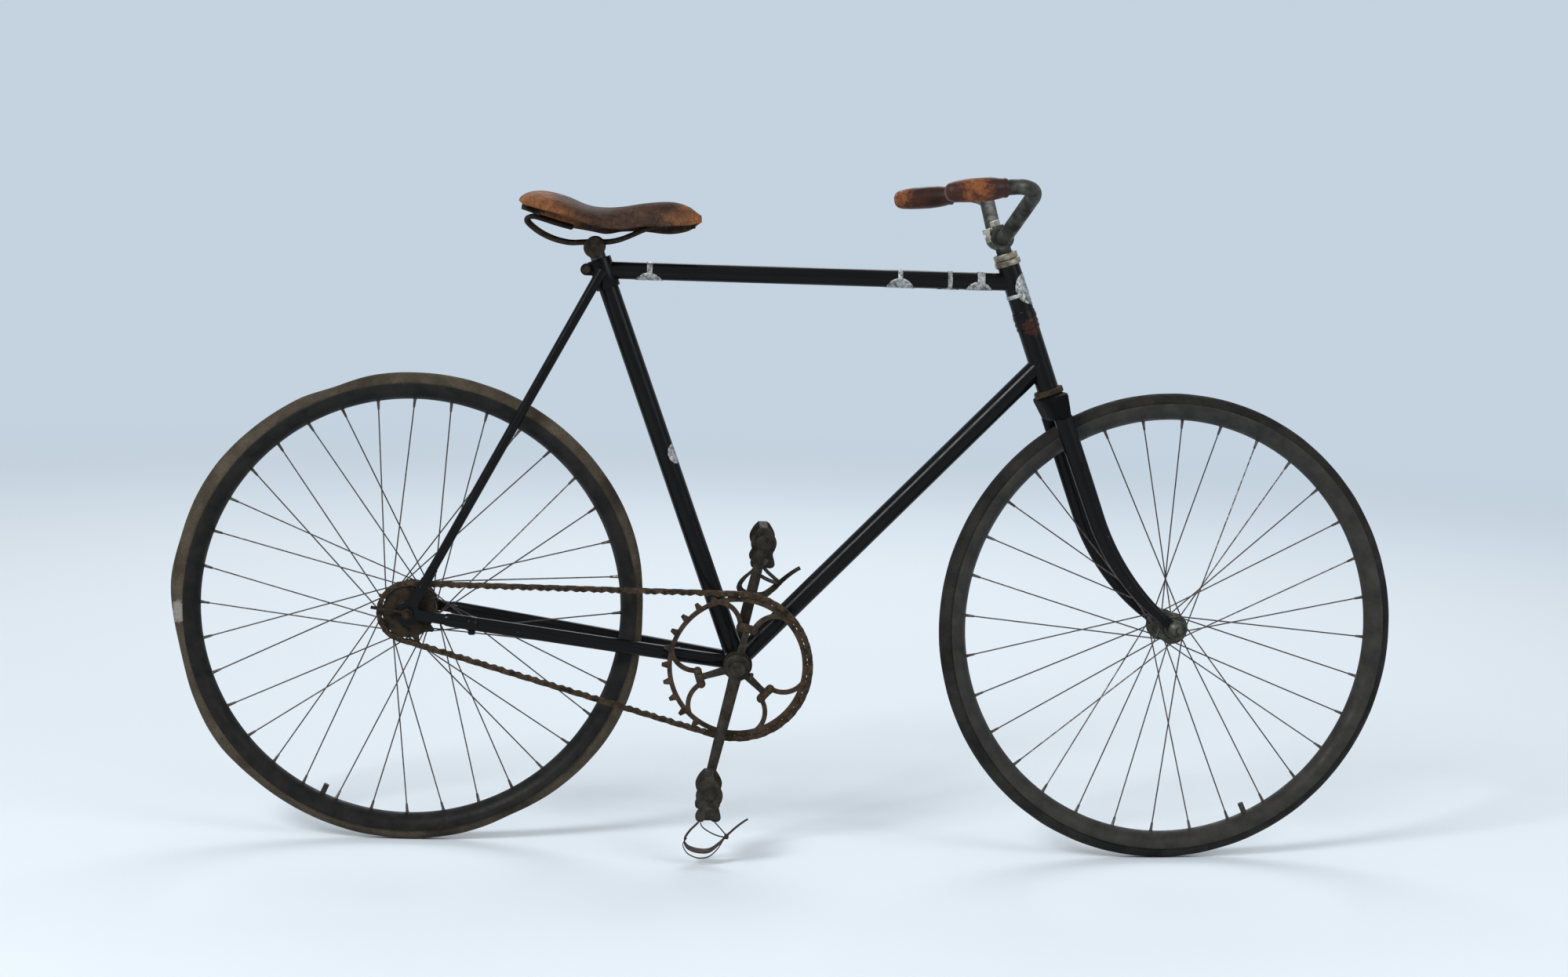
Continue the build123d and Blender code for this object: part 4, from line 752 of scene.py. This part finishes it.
# Saddle rails: bent wire, from the nose through the clamp to a loop under the cantle
# columns: ahead, left, up
RAIL_ROUTE = ((150, 9, -22), (120, 11.5, -30), (97, 14, -38), (82, 17, -45), (64, 21.5, -52.5), (47, 25, -56.2),
              (28, 25, -56.5), (10, 25, -57.8), (-8, 25, -58.6), (-29, 25, -54.5), (-48, 25, -46.5), (-62, 25, -37),
              (-69, 25, -29.5), (-67, 25, -24.2), (-58, 25, -23), (-44, 25, -26.5), (-25, 25, -32), (-4, 25, -37))
RAIL_RADIUS = 3.5
rails = Form()
for side in (-1, 1):
    route = [Vector((ahead, side * left, up)) * MM for ahead, left, up in smooth(RAIL_ROUTE, 5)]
    rails.tube(route, RAIL_RADIUS * MM, 14)
rails.piece("saddle_rails_bent", DARK_RUST, "frame", "rusty_steel", "saddle_rails", crease=60)

# Chain stays: oval tubes on the line of the CAD stays, which stay deep towards the fork ends
STAY_FRONT_SPREAD = 20.0
STAY_REAR_SPREAD = 60.0
STAY_REAR_GAP = 52.0
STAY_SIDES = 28
# columns: share of the length, height, width
STAY_ROWS = ((0.045, 20, 20), (0.25, 20.4, 18.8), (0.5, 20.6, 17.2), (0.75, 20.4, 15.6), (0.97, 19.8, 14.2),
             (0.992, 18, 12.8), (1.0, 12, 9))


def make_stay(name, side):
    """One chain stay from the bracket to the fork end."""
    start = BRACKET + LEFT * side * STAY_FRONT_SPREAD * MM
    end = REAR_AXLE + (BRACKET - REAR_AXLE).normalized() * STAY_REAR_GAP * MM + LEFT * side * STAY_REAR_SPREAD * MM
    beside = (end - start).cross(UP).normalized()
    rise = beside.cross(end - start).normalized()
    stay = Form()
    stay.grid([oval(start.lerp(end, share), rise * height / 2 * MM, beside * width / 2 * MM, STAY_SIDES)
               for share, height, width in STAY_ROWS])
    stay.piece(f"chain_stay_{name}_oval", ENAMEL, "frame", "black_enamel", f"chain_stay_{name}", crease=50)


for name, side in SIDES:
    make_stay(name, side)

# Clip on the right chain stay: a band, an ear under it and the ear's bolt
CLIP_MIDDLE = Vector((-133, -56, -607.4))
CLIP_RUN = Vector((-406.7, -40, 56)).normalized()
CLIP_BAND = ((-6.5, 7.0), (-6.5, 10.2), (-5.6, 10.8), (5.6, 10.8), (6.5, 10.2), (6.5, 7.0))
CLIP_EAR = ((-5, -5), (5, -5), (5.5, -14), (3.5, -16), (-3.5, -16), (-5.5, -14))
CLIP_EAR_WIDTH = 8
CLIP_BOLT = ((-7, 2.0), (-6.6, 3.2), (6.6, 3.2), (7, 2.0))
CLIP_BOLT_DROP = 12.4
clip = Form()
clip.lathe(CLIP_MIDDLE * MM, CLIP_RUN, CLIP_BAND, 32)
ear = [CLIP_MIDDLE + Vector((ahead, CLIP_EAR_WIDTH / 2, up)) for ahead, up in CLIP_EAR]
clip.slab([point * MM for point in ear], -LEFT * CLIP_EAR_WIDTH * MM)
clip.lathe((CLIP_MIDDLE - UP * CLIP_BOLT_DROP) * MM, -LEFT, CLIP_BOLT, 12)
clip.piece("stay_clip_band", ENAMEL, "frame", "black_enamel", "stay_clip", crease=45)

# Grips: swollen sleeves, worn uneven, with a rolled collar
# columns: distance from the bar's end towards the stem, radius
GRIP_PROFILE = ((82.0, 11.2), (81.6, 13.2), (79.5, 14.2), (76.5, 13.9), (74.5, 13.7), (70, 14.7), (60, 16.0),
                (46, 16.7), (30, 16.4), (16, 15.4), (6, 14.1), (1, 13.0), (-2.5, 11.2), (-5, 8.4), (-6.4, 5.0),
                (-6.9, 1.5))
GRIP_SIDES = 36
# wear of a grip: height, steps of its noise, and the radius from which it shows
GRIP_WEAR = 0.45
GRIP_WEAR_STEPS = (0.06, 1.3)
GRIP_WORN_FROM = 12
# left end of the bar and the point ahead of it, in the steering frame
BAR_END = (-88, 172, 327.25)
BAR_KNEE = (40, 168, 296.25)


def make_grip(name, side):
    """Sleeve on one end of the bar."""
    end, knee = [steered(ahead, side * left, up) for ahead, left, up in (BAR_END, BAR_KNEE)]
    inward = (knee - end).normalized()
    across = inward.orthogonal().normalized()
    beside = inward.cross(across)
    rows = []
    for along, radius in GRIP_PROFILE:
        row = []
        for j in range(GRIP_SIDES):
            turn = math.tau * j / GRIP_SIDES
            spot = Vector((along * GRIP_WEAR_STEPS[0], math.cos(turn) * GRIP_WEAR_STEPS[1],
                           math.sin(turn) * GRIP_WEAR_STEPS[1]))
            uneven = GRIP_WEAR * noise.noise(spot) if radius > GRIP_WORN_FROM else 0
            row.append(end + (inward * along + around(across, beside, turn) * (radius + uneven)) * MM)
        rows.append(row)
    sleeve = Form()
    sleeve.grid(rows)
    sleeve.piece(f"grip_{name}_worn", GRIP_HIDE, "steering", "grip_leather", f"grip_{name}", crease=50)


for name, side in SIDES:
    make_grip(name, side)

# Block chain: waisted side plates, rounded blocks and rivet heads
CHAIN_STEP = 25.4
RING_TEETH = 26
COG_TEETH = 10
RING_PITCH, COG_PITCH = [CHAIN_STEP / 2 / math.sin(math.pi / teeth) for teeth in (RING_TEETH, COG_TEETH)]
SPAN = (BRACKET - REAR_AXLE) / MM
CENTRES = SPAN.length
CHAIN_SLANT = math.asin((RING_PITCH - COG_PITCH) / CENTRES)
LINE_ANGLE = math.atan2(SPAN.z, SPAN.x)
STRAIGHT_RUN = CENTRES * math.cos(CHAIN_SLANT)
RING_WRAP = RING_PITCH * (math.pi + 2 * CHAIN_SLANT)
COG_WRAP = COG_PITCH * (math.pi - 2 * CHAIN_SLANT)
CHAIN_LENGTH = 2 * STRAIGHT_RUN + RING_WRAP + COG_WRAP
LINKS = round(CHAIN_LENGTH / CHAIN_STEP)
LINK = CHAIN_LENGTH / LINKS
UPPER_NORMAL = LINE_ANGLE + math.pi / 2 + CHAIN_SLANT
LOWER_NORMAL = LINE_ANGLE - math.pi / 2 - CHAIN_SLANT
# angle of the gap between the ring's teeth that the chain is set to
TOOTH_GAP = math.tau / RING_TEETH * 6.5
CHAIN_PHASE = (STRAIGHT_RUN + RING_PITCH * (UPPER_NORMAL - TOOTH_GAP)) % LINK
CHAIN_LINE = 47.0


def on_circle(centre, radius, angle):
    """Chain place on a sprocket: point and heading."""
    out = around(AHEAD, UP, angle)
    return centre + out * radius * MM, LEFT.cross(out)


def chain_place(travel):
    """Point and heading on the chain's loop after a travel from the top of the cog."""
    travel %= CHAIN_LENGTH
    if travel < STRAIGHT_RUN:
        start, run = on_circle(REAR_AXLE, COG_PITCH, UPPER_NORMAL)
        return start + run * travel * MM, run
    travel -= STRAIGHT_RUN
    if travel < RING_WRAP:
        return on_circle(BRACKET, RING_PITCH, UPPER_NORMAL - travel / RING_PITCH)
    travel -= RING_WRAP
    if travel < STRAIGHT_RUN:
        start, run = on_circle(BRACKET, RING_PITCH, LOWER_NORMAL)
        return start + run * travel * MM, run
    return on_circle(REAR_AXLE, COG_PITCH, LOWER_NORMAL - (travel - STRAIGHT_RUN) / COG_PITCH)


LOBE_STEPS = 6
LOBE_SWEEP = 80


def lobes(length, height, waist, back):
    """Outline with two round ends, a waist below and a back above, as (along, up) pairs in millimetres."""
    ends = []
    middle = length / 2 - height / 2
    for side in (1, -1):
        for k in range(LOBE_STEPS + 1):
            turn = math.radians(LOBE_SWEEP * (2 * k / LOBE_STEPS - 1)) + (0 if side > 0 else math.pi)
            ends.append((side * middle + height / 2 * math.cos(turn), height / 2 * math.sin(turn)))
        ends.append((0, back / 2 if side > 0 else -waist / 2))
    return ends


# columns: share of a link's step, outline, layers as distances from the chain line and widths
CHAIN_PARTS = (
    (0.0, lobes(15.6, 8.8, 6.0, 8.0), ((-4.0, 8.0),)),
    (0.5, lobes(21.4, 8.4, 3.2, 8.2), ((4.05, 1.5), (-5.55, 1.5))),
)
CHAIN_RIVET = ((0, 1.9), (0.5, 1.7), (0.8, 0.7))
CHAIN_RIVET_REACH = 7.2
CHAIN_RIVET_FACE = 5.5


def make_chain():
    """All links of the chain as one mesh of blocks and plates, with a second one for the rivets."""
    links, rivets = Form(), Form()
    for i in range(LINKS):
        for share, outline, layers in CHAIN_PARTS:
            place, run = chain_place(CHAIN_PHASE + (i + share) * LINK)
            tilt = run.cross(LEFT)
            for face, width in layers:
                side = place - LEFT * (CHAIN_LINE + face) * MM
                links.slab([side + (run * a + tilt * b) * MM for a, b in outline], -LEFT * width * MM)
        # the plates come last, and carry the rivets
        for reach in (-CHAIN_RIVET_REACH, CHAIN_RIVET_REACH):
            for side in (-1, 1):
                spot = place + (run * reach - LEFT * CHAIN_LINE - LEFT * side * CHAIN_RIVET_FACE) * MM
                rivets.lathe(spot, -LEFT * side, CHAIN_RIVET, 8)
    links.piece("chain_links", RUST, "frame", "rusty_steel", "chain")
    rivets.piece("chain_rivets", DARK_RUST, "frame", "rusty_steel")


make_chain()

# Cranks: forged arms, the ring's spider, cotters, end nuts and clamps on the chainring's cross bars
CRANK_TURNS = {-1: math.radians(257.5), 1: math.radians(257.5) + math.pi}
SPIDER_TURNS = [CRANK_TURNS[1] + math.tau * k / 3 for k in range(3)]
EYES = {side: Vector(JOINTS[f"pedal_{name}_spin"]["pos_m"]) for name, side in SIDES}
CRANK_NUT = ((70.6, 15.6), (71.9, 15.6), (72.4, 14.8), (72.4, 11.6), (76.8, 11.2), (77.6, 10.2), (77.6, 5.4),
             (77.0, 4.8), (77.0, 0.4))
COTTER = ((-24, 3.4), (-23.4, 4.4), (19, 4.6), (20, 7.2), (24, 7.2), (24.8, 6.2), (25, 3.0))
COTTER_FACE = 63
COTTER_REACH = 9
CLAMP_OUTLINE = lobes(32.0, 13.0, 9.0, 9.0)
CLAMP_REACH = 57
CLAMP_FACE = 47.5
CLAMP_WALL = 6.5
KNOB = ((-1, 4.6), (0.8, 4.5), (1.9, 3.4), (2.4, 0.5))
KNOB_REACH = 9.6
KNOB_FACE = 6.3


def make_crank_parts():
    """Small turned and forged pieces that go round with the cranks."""
    nuts, cotters, clamps = Form(), Form(), Form()
    for side in (-1, 1):
        nuts.lathe(BRACKET, LEFT * side, CRANK_NUT, 36)
        out = around(AHEAD, UP, CRANK_TURNS[side])
        middle = BRACKET + LEFT * side * COTTER_FACE * MM + out * COTTER_REACH * MM
        cotters.lathe(middle, LEFT.cross(out) * side, COTTER, 12)
    for turn in SPIDER_TURNS:
        out = around(AHEAD, UP, turn)
        across = out.cross(LEFT)
        seat = BRACKET + out * CLAMP_REACH * MM - LEFT * CLAMP_FACE * MM
        clamps.slab([seat + (across * a + out * b) * MM for a, b in CLAMP_OUTLINE], -LEFT * CLAMP_WALL * MM, 0.18)
        for reach in (-KNOB_REACH, KNOB_REACH):
            clamps.lathe(seat + across * reach * MM - LEFT * KNOB_FACE * MM, -LEFT, KNOB, 16)
    nuts.piece("crank_end_nuts", CAST, "crank", "rusty_steel", "crank_nuts", crease=30)
    cotters.piece("crank_cotters", CAST, "crank", "rusty_steel", crease=30)
    clamps.piece("ring_clamps", RUST, "crank", "rusty_steel", crease=45)


# columns: distance from the bracket, width, thickness of a crank's arm
CRANK_ROWS = ((9, 20.5, 13.0), (18, 18.6, 13.0), (30, 17.8, 12.8), (70, 17.0, 12.6), (115, 15.6, 12.2),
              (150, 14.2, 11.8), (164, 14.2, 11.8))
CRANK_SIDES = 24
CRANK_MIDDLE = 64.0
SPIDER_FACE = 48.5
SPIDER_WALL = 4.5
CRANK_BOSS = ((41, 15.5), (41.6, 17.2), (56, 17.8), (57.5, 18), (69.4, 18), (70.5, 16.8))
CRANK_EYE = ((57.6, 9.6), (58.6, 11.4), (69.4, 11.4), (70.4, 9.6))
# columns: distance from the bracket, half width of a spider's arm
SPIDER_ROWS = ((12, 6.4), (24, 5.6), (46, 4.6), (57, 5.0))
SPIDER_EDGE = SPIDER_ROWS + tuple((along, -half) for along, half in reversed(SPIDER_ROWS))


def make_crank(name, side):
    """Forged crank with a round arm, and the spider on the right one."""
    out = around(AHEAD, UP, CRANK_TURNS[side])
    across = out.cross(LEFT)
    crank = Form()
    crank.grid([oval(BRACKET + (out * along + LEFT * side * CRANK_MIDDLE) * MM, across * width / 2 * MM,
                     LEFT * wall / 2 * MM, CRANK_SIDES) for along, width, wall in CRANK_ROWS])
    crank.lathe(BRACKET, LEFT * side, CRANK_BOSS, 40)
    crank.lathe(Vector((EYES[side].x, 0, EYES[side].z)), LEFT * side, CRANK_EYE, 32)
    foot = BRACKET - LEFT * SPIDER_FACE * MM
    for turn in SPIDER_TURNS if side < 0 else ():
        arm = around(AHEAD, UP, turn)
        beside = arm.cross(LEFT)
        edge = [foot + (arm * along + beside * half) * MM for along, half in SPIDER_EDGE]
        crank.slab(edge, -LEFT * SPIDER_WALL * MM, 0.10)
    crank.piece(f"crank_{name}_forged", CAST, "crank", "rusty_steel", f"crank_{name}", crease=42)


# Pedals: barrels, toothed tread plates, scalloped end plates, and toe clips with their straps
# columns: along the spindle, radius; out along the barrel and back through its bore
PEDAL_BARREL = ((-40, 4.8), (-40, 12.4), (-36, 12.4), (-31, 9.6), (0, 8.8), (31, 9.6), (36, 12.4), (40, 12.4),
                (40, 4.8))
BARREL_SIDES = 28
# columns: height, half depth, half depth between the teeth of a tread plate
TREADS = ((-37.0, 12.0, 9.0), (19.4, 6.5, 4.8))
TREAD_TEETH = 8
TREAD_HALF = 41
TREAD_WALL = 2.4
# outline of a pedal's end plate: ahead and up from the spindle
END_PLATE = ((-7, 21), (7, 21), (14, 13), (19, 2), (18, -8), (14, -17), (16, -26), (17, -34), (12, -38.5), (4, -37),
             (8, -29), (7, -21), (0, -17), (-6, -22), (-5, -31), (-8, -38.5), (-17, -37), (-19, -28), (-14, -17),
             (-18, -8), (-19, 2), (-14, 13))
END_PLATE_FACE = 40.6
END_PLATE_WALL = 2.6
PEDAL_CAP = ((41, 9.6), (44.4, 9.4), (46.6, 7.8), (47.8, 4.4), (48.0, 0.4))
# columns: ahead, up, to the outside, width
TOE_BAND = ((-9, -38.6, 0, 12), (-14, -50, 0, 9), (-26, -64, 1, 12), (-33, -78, 2, 20), (-29, -89, 2, 25),
            (-16, -95, 2, 27), (2, -95, 2, 25), (16, -84, 1, 16), (27, -71, 0, 11), (39, -58, 0, 9), (50, -48, 0, 8),
            (57, -43, 0, 6))
TOE_LOOP = ((-30, -73, 11, 3), (-35, -84, 13, 3), (-28, -97, 15, 3), (-13, -104, 15, 3), (2, -102, 13, 3),
            (14, -91, 9, 3), (22, -78, 4, 3))
TOE_STRAPS = (
    ((-12, -39, 8, 3), (-9, -54, 8, 3), (3, -64, 7, 3), (15, -70, 5, 3), (26, -73, 2, 3)),
    ((0, -38.6, -14, 3), (8, -50, -13, 3), (17, -60, -9, 3), (26, -70, -3, 3)),
)
TOE_BAND_WALL = 1.5
TOE_LOOP_WALL = 1.2
TOE_STRAP_WALL = 1.4
BUCKLE = ((0, 1.5), (1, 3.2), (11, 3.2), (12, 1.5))
BUCKLE_PLACE = (27, -72)
BUCKLE_HALF = 6
# the left toe clip is twisted and bent shorter than the right one
# columns by side: twist, share of the drop below the end plates, least width, greatest width
TOE_BENDS = {-1: (0.0, 0.9, 0, 40), 1: (0.5, 0.82, 8, 14)}
TOE_ROOT = -38.6


def toe_height(up, side):
    """Height of a place on a toe clip, with the side's own drop."""
    return TOE_ROOT + (up - TOE_ROOT) * TOE_BENDS[side][1]


def ribbon(form, eye, side, points, wall):
    """Flat strap from the pedal through points given ahead, up and to the outside, with a width at each."""
    rows, loops = smooth(points), []
    path = [Vector((ahead, 0, up)) for ahead, up, outside, width in rows]
    twist, _, least, most = TOE_BENDS[side]
    for i, (ahead, up, outside, width) in enumerate(rows):
        run = heading(path, i)
        normal = Vector((-run.z, 0, run.x))
        off = around(normal, -LEFT, twist) * wall / 2
        half = around(LEFT, normal, twist) * min(max(width, least), most) / 2
        middle = eye + (Vector((ahead, 0, toe_height(up, side))) + LEFT * side * outside) * MM
        loops.append([middle + (half + off) * MM, middle + (off - half) * MM, middle - (half + off) * MM,
                      middle + (half - off) * MM])
    form.grid(loops)


def make_pedal_body(name, side):
    """Barrel round the spindle and toothed tread plates between the end plates."""
    eye, body = EYES[side], Form()
    body.grid([oval(eye + LEFT * along * MM, AHEAD * radius * MM, UP * radius * MM, BARREL_SIDES)
               for along, radius in PEDAL_BARREL], loop=True)
    for height, tip, root in TREADS:
        outline = []
        for edge in (1, -1):
            for k in range(2 * TREAD_TEETH + 1):
                along = edge * TREAD_HALF * (k / TREAD_TEETH - 1)
                outline.append(eye + (LEFT * along + AHEAD * edge * (root if k % 2 else tip) + UP * height) * MM)
        body.slab(outline, UP * TREAD_WALL * MM, 0.02)
    body.piece(f"pedal_{name}_body", CAST, f"pedal_{name}", "rusty_steel", f"pedal_{name}", crease=40)


def make_pedal_parts(name, side):
    """Scalloped end plates, a dust cap and the toe clip with its straps, on one pedal."""
    eye = EYES[side]
    plates, cap, clip, straps = Form(), Form(), Form(), Form()
    outline = [row[:2] for row in smooth(END_PLATE + END_PLATE[:1], 3)[:-1]]
    for end in (-1, 1):
        face = eye + LEFT * end * END_PLATE_FACE * MM
        edge = [face + Vector((ahead, 0, up)) * MM for ahead, up in outline]
        plates.slab(edge, LEFT * end * END_PLATE_WALL * MM, 0.05)
    cap.lathe(eye, LEFT * side, PEDAL_CAP, 24)
    ribbon(clip, eye, side, TOE_BAND, TOE_BAND_WALL)
    ribbon(clip, eye, side, TOE_LOOP, TOE_LOOP_WALL)
    ahead, up = BUCKLE_PLACE
    clip.lathe(eye + Vector((ahead, -BUCKLE_HALF, toe_height(up, side))) * MM, LEFT, BUCKLE, 14)
    for points in TOE_STRAPS:
        ribbon(straps, eye, side, points, TOE_STRAP_WALL)
    body = f"pedal_{name}"
    plates.piece(f"{body}_plates", CAST, body, "rusty_steel", crease=45)
    cap.piece(f"{body}_cap", CAST, body, "rusty_steel", crease=30)
    clip.piece(f"{body}_clip", RUST, body, "rusty_steel", f"toe_clip_{name}")
    straps.piece(f"{body}_straps", STRAP, body, "rusty_steel")


make_crank_parts()
for name, side in SIDES:
    make_crank(name, side)
    make_pedal_body(name, side)
    make_pedal_parts(name, side)


# Silver patches on the tubes, and the wrapping round the head tube
WRAP_STEPS = 12
# how far the film's edges wander, and how far it stands off the tube
WRAP_RAGGED = 0.5
FILM_GAP = 0.45
FILM_LIFT = 0.2
FILM_WALL = 0.5
MOON_STEPS = 16
MOON_RAGGED = 5
MOON_LEAST = 8


def wrap(form, start, run, radius, rows):
    """Sheet that hugs a tube: rows of distance along, lowest and highest angle from the near side, upwards or ahead."""
    over = -LEFT.cross(run)
    skin = []
    for along, low, high in rows:
        row = []
        for k in range(WRAP_STEPS + 1):
            out = around(-LEFT, over, math.radians(low + (high - low) * k / WRAP_STEPS))
            ragged = WRAP_RAGGED * noise.noise(Vector((along * 0.4, k * 1.3, radius)))
            lift = radius + FILM_GAP + FILM_LIFT * abs(ragged)
            row.append(start + run * (along + ragged) * MM + out * lift * MM)
        skin.append(row)
    form.grid(skin, ring=False)


def moon(middle, half, foot, rise):
    """Rows of a half-moon patch round a place along the tube."""
    rows, least = [], foot + MOON_LEAST
    for k in range(MOON_STEPS + 1):
        share = 2 * k / MOON_STEPS - 1
        ragged = MOON_RAGGED * noise.noise(Vector((k * 0.7, middle * 0.1, 2.0)))
        rows.append((middle + share * half, foot, least + (rise - least) * math.sqrt(1 - share * share) + ragged))
    return rows


def strip(middle, half, low, high):
    """Rows of a narrow strap round a tube."""
    return [(middle + half * share, low, high) for share in (-1, -0.5, 0, 0.5, 1)]


TOP_RADIUS = 12.7
STRAP_RADIUS = 12.9
SEAT_ANGLE = math.radians(69.6)
SEAT_RUN = Vector((-math.cos(SEAT_ANGLE), 0, math.sin(SEAT_ANGLE)))
TOP_LINE = Vector((0, 0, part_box("top_tube")[0].z + TOP_RADIUS * MM))
# columns: half-moon, then the strap across it, on the top tube
TOP_PATCHES = (
    (moon(107, 20, -100, -8), strip(108, 4, -60, 105)),
    (moon(469, 21, -100, 8), strip(469, 3.4, -60, 105)),
    (moon(539, 16, -105, -60), strip(541, 3.2, -100, 105)),
    (moon(583, 20, -100, 0), strip(586, 5.5, -60, 105)),
)
films = Form()
for patch, strap in TOP_PATCHES:
    wrap(films, TOP_LINE, AHEAD, TOP_RADIUS, patch)
    wrap(films, TOP_LINE, AHEAD, STRAP_RADIUS, strap)
wrap(films, STEER_PLACE, STEER_UP, 15.9, moon(154, 24, -78, 8))
wrap(films, STEER_PLACE, STEER_UP, 16.1, strip(148, 2.8, -20, 110))
wrap(films, BRACKET, SEAT_RUN, 14.3, moon(318, 15, -70, -12))
thicken(films.piece("silver_patches", FILM, "frame", "tarnished_nickel", crease=60), FILM_WALL, 0.0)

# columns: distance up the head tube, radius
WRAPPING = ((96, 16.0), (97, 16.9), (100, 17.3), (103, 16.4), (105, 17.5), (109, 17.2), (111, 16.5), (114, 17.6),
            (118, 17.3), (120, 16.5), (122, 17.0), (124, 16.0))
tape = Form()
tape.lathe(STEER_PLACE, STEER_UP, WRAPPING, 40)
tape.piece("head_wrapping", ENAMEL, "frame", "black_enamel", crease=50)

# Clamp bolt behind the bar lug
BOLT_PLACE = steered(-15, -6, 244)
BOLT = ((-10, 4.5), (-9.4, 7.2), (-2, 7.6), (-1.6, 5.4), (2.4, 5.4), (2.8, 8.0), (8.4, 8.0), (9.4, 6.6), (9.6, 1.0))
BOLT_EAR = ((-2, 4.0), (14, 5.4))
bolt = Form()
bolt.lathe(BOLT_PLACE, STEER_UP, BOLT, 6)
bolt.lathe(BOLT_PLACE, STEER_AHEAD, BOLT_EAR, 16)
bolt.piece("bar_clamp_bolt", BRIGHT, "steering", "tarnished_nickel", crease=30)

# Softened edges on the forged and turned CAD pieces
# columns: nodes, bevel in millimetres
SOFT_EDGES = (
    ("stem seat_lug saddle_clamp", 1.2),
    ("rear_fork_ends fork_tips", 1.2),
    ("lock_nut stem_bolt binder_bolt rear_axle_nuts", 0.8),
    ("head_cup_upper head_cup_lower bracket_cups", 0.5),
    ("chainring rear_cog", 0.7),
)
WELD_REACH = 0.02
BEVEL_FROM = math.radians(40)
for names, width in SOFT_EDGES:
    for node in names.split():
        weld = NODES[node].modifiers.new("weld", "WELD")
        weld.merge_threshold = WELD_REACH * MM
        soft = NODES[node].modifiers.new("soft", "BEVEL")
        soft.width = width * MM
        soft.segments = 2
        soft.limit_method = "ANGLE"
        soft.angle_limit = BEVEL_FROM
        soft.harden_normals = False


# Stage, lights and camera
PAPER = (0.555, 0.65, 0.742)
FLOOR_PAPER = (0.80, 0.87, 0.93)
PAPER_FADE = (2.2, 7.0)
FLOOR_REACH = 40.0
SKY = (0.93, 0.97, 1.0)
SKY_STRENGTH = 0.40


def show_paper(tree, share, shader, shown, output):
    """Blend a shader with the paper's own colour, and link it to the tree's output."""
    paper = tree.node(shown, 0, {"Color": (*PAPER, 1)})
    blend = tree.node("MixShader", 0, {0: share, 1: shader, 2: paper})
    tree.put(tree.nodes[output].inputs["Surface"], blend)


def make_world():
    """Soft even light, with the paper's own colour where the background shows."""
    world = bpy.data.worlds.new("studio")
    world.use_nodes = True
    tree = Tree(world.node_tree)
    light = tree.nodes["Background"]
    light.inputs["Color"].default_value = (*SKY, 1)
    light.inputs["Strength"].default_value = SKY_STRENGTH
    show_paper(tree, tree.backdrop_rays(), light.outputs[0], "Background", "World Output")
    bpy.context.scene.world = world


def make_floor():
    """Pale paper floor that melts into the backdrop far away."""
    mesh = bpy.data.meshes.new("floor")
    corners = [(x * FLOOR_REACH, y * FLOOR_REACH, FLOOR) for x, y in ((-1, -1), (1, -1), (1, 1), (-1, 1))]
    mesh.from_pydata(corners, [], [(0, 1, 2, 3)])
    floor = bpy.data.objects.new("floor", mesh)
    bpy.context.scene.collection.objects.link(floor)
    finish = Finish("paper")
    finish.set(Base_Color=(*FLOOR_PAPER, 1), Roughness=0.9, Specular_IOR_Level=0.1)
    away = finish.node("VectorMath", "Value", {0: finish.place}, operation="LENGTH")
    fade = finish.node("MapRange", "Result", {"Value": away, "From Min": PAPER_FADE[0], "From Max": PAPER_FADE[1]},
                       interpolation_type="SMOOTHSTEP")
    share = finish.math("MULTIPLY", fade, finish.backdrop_rays())
    show_paper(finish, share, finish.shader.outputs[0], "Emission", "Material Output")
    mesh.materials.append(finish.material)


def aim(place, target):
    """Rotation that points an object's -Z at a target."""
    return (target - place).to_track_quat("-Z", "Y").to_euler()


# columns: name, place, size, watts
LAMPS = (
    ("key_lamp", (-3.3, -4.4, 3.6), 1.9, 285.0),
    ("fill_lamp", (3.0, -2.6, 1.6), 2.2, 45.0),
    ("back_lamp", (0.8, 4.6, 3.4), 3.2, 125.0),
)


def make_lamps():
    """Large soft lamps round the object."""
    middle = (CAD_BOX[0] + CAD_BOX[1]) / 2
    for name, place, size, watts in LAMPS:
        lamp = bpy.data.lights.new(name, "AREA")
        lamp.size = size
        lamp.energy = watts
        holder = bpy.data.objects.new(name, lamp)
        holder.location = place
        holder.rotation_euler = aim(Vector(place), middle)
        bpy.context.scene.collection.objects.link(holder)


def make_camera():
    """Camera at the photograph's place, looking a little down and to the right."""
    camera = bpy.data.cameras.new("camera")
    camera.sensor_width = SENSOR_WIDTH
    camera.lens = FOCAL_PIXELS * SENSOR_WIDTH / IMAGE_WIDTH
    holder = bpy.data.objects.new("camera", camera)
    level = math.cos(CAMERA_PITCH)
    ahead = Vector((math.sin(CAMERA_YAW) * level, math.cos(CAMERA_YAW) * level, -math.sin(CAMERA_PITCH)))
    right = Vector((math.cos(CAMERA_YAW), -math.sin(CAMERA_YAW), 0))
    up = right.cross(ahead)
    rolled_right = right * math.cos(CAMERA_ROLL) + up * math.sin(CAMERA_ROLL)
    rolled_up = up * math.cos(CAMERA_ROLL) - right * math.sin(CAMERA_ROLL)
    turn = Matrix((rolled_right, rolled_up, -ahead)).transposed()
    holder.matrix_world = Matrix.Translation(CAMERA_PLACE) @ turn.to_4x4()
    bpy.context.scene.collection.objects.link(holder)
    bpy.context.scene.camera = holder


make_world()
make_floor()
make_lamps()
make_camera()
bpy.context.scene.view_settings.view_transform = "Standard"
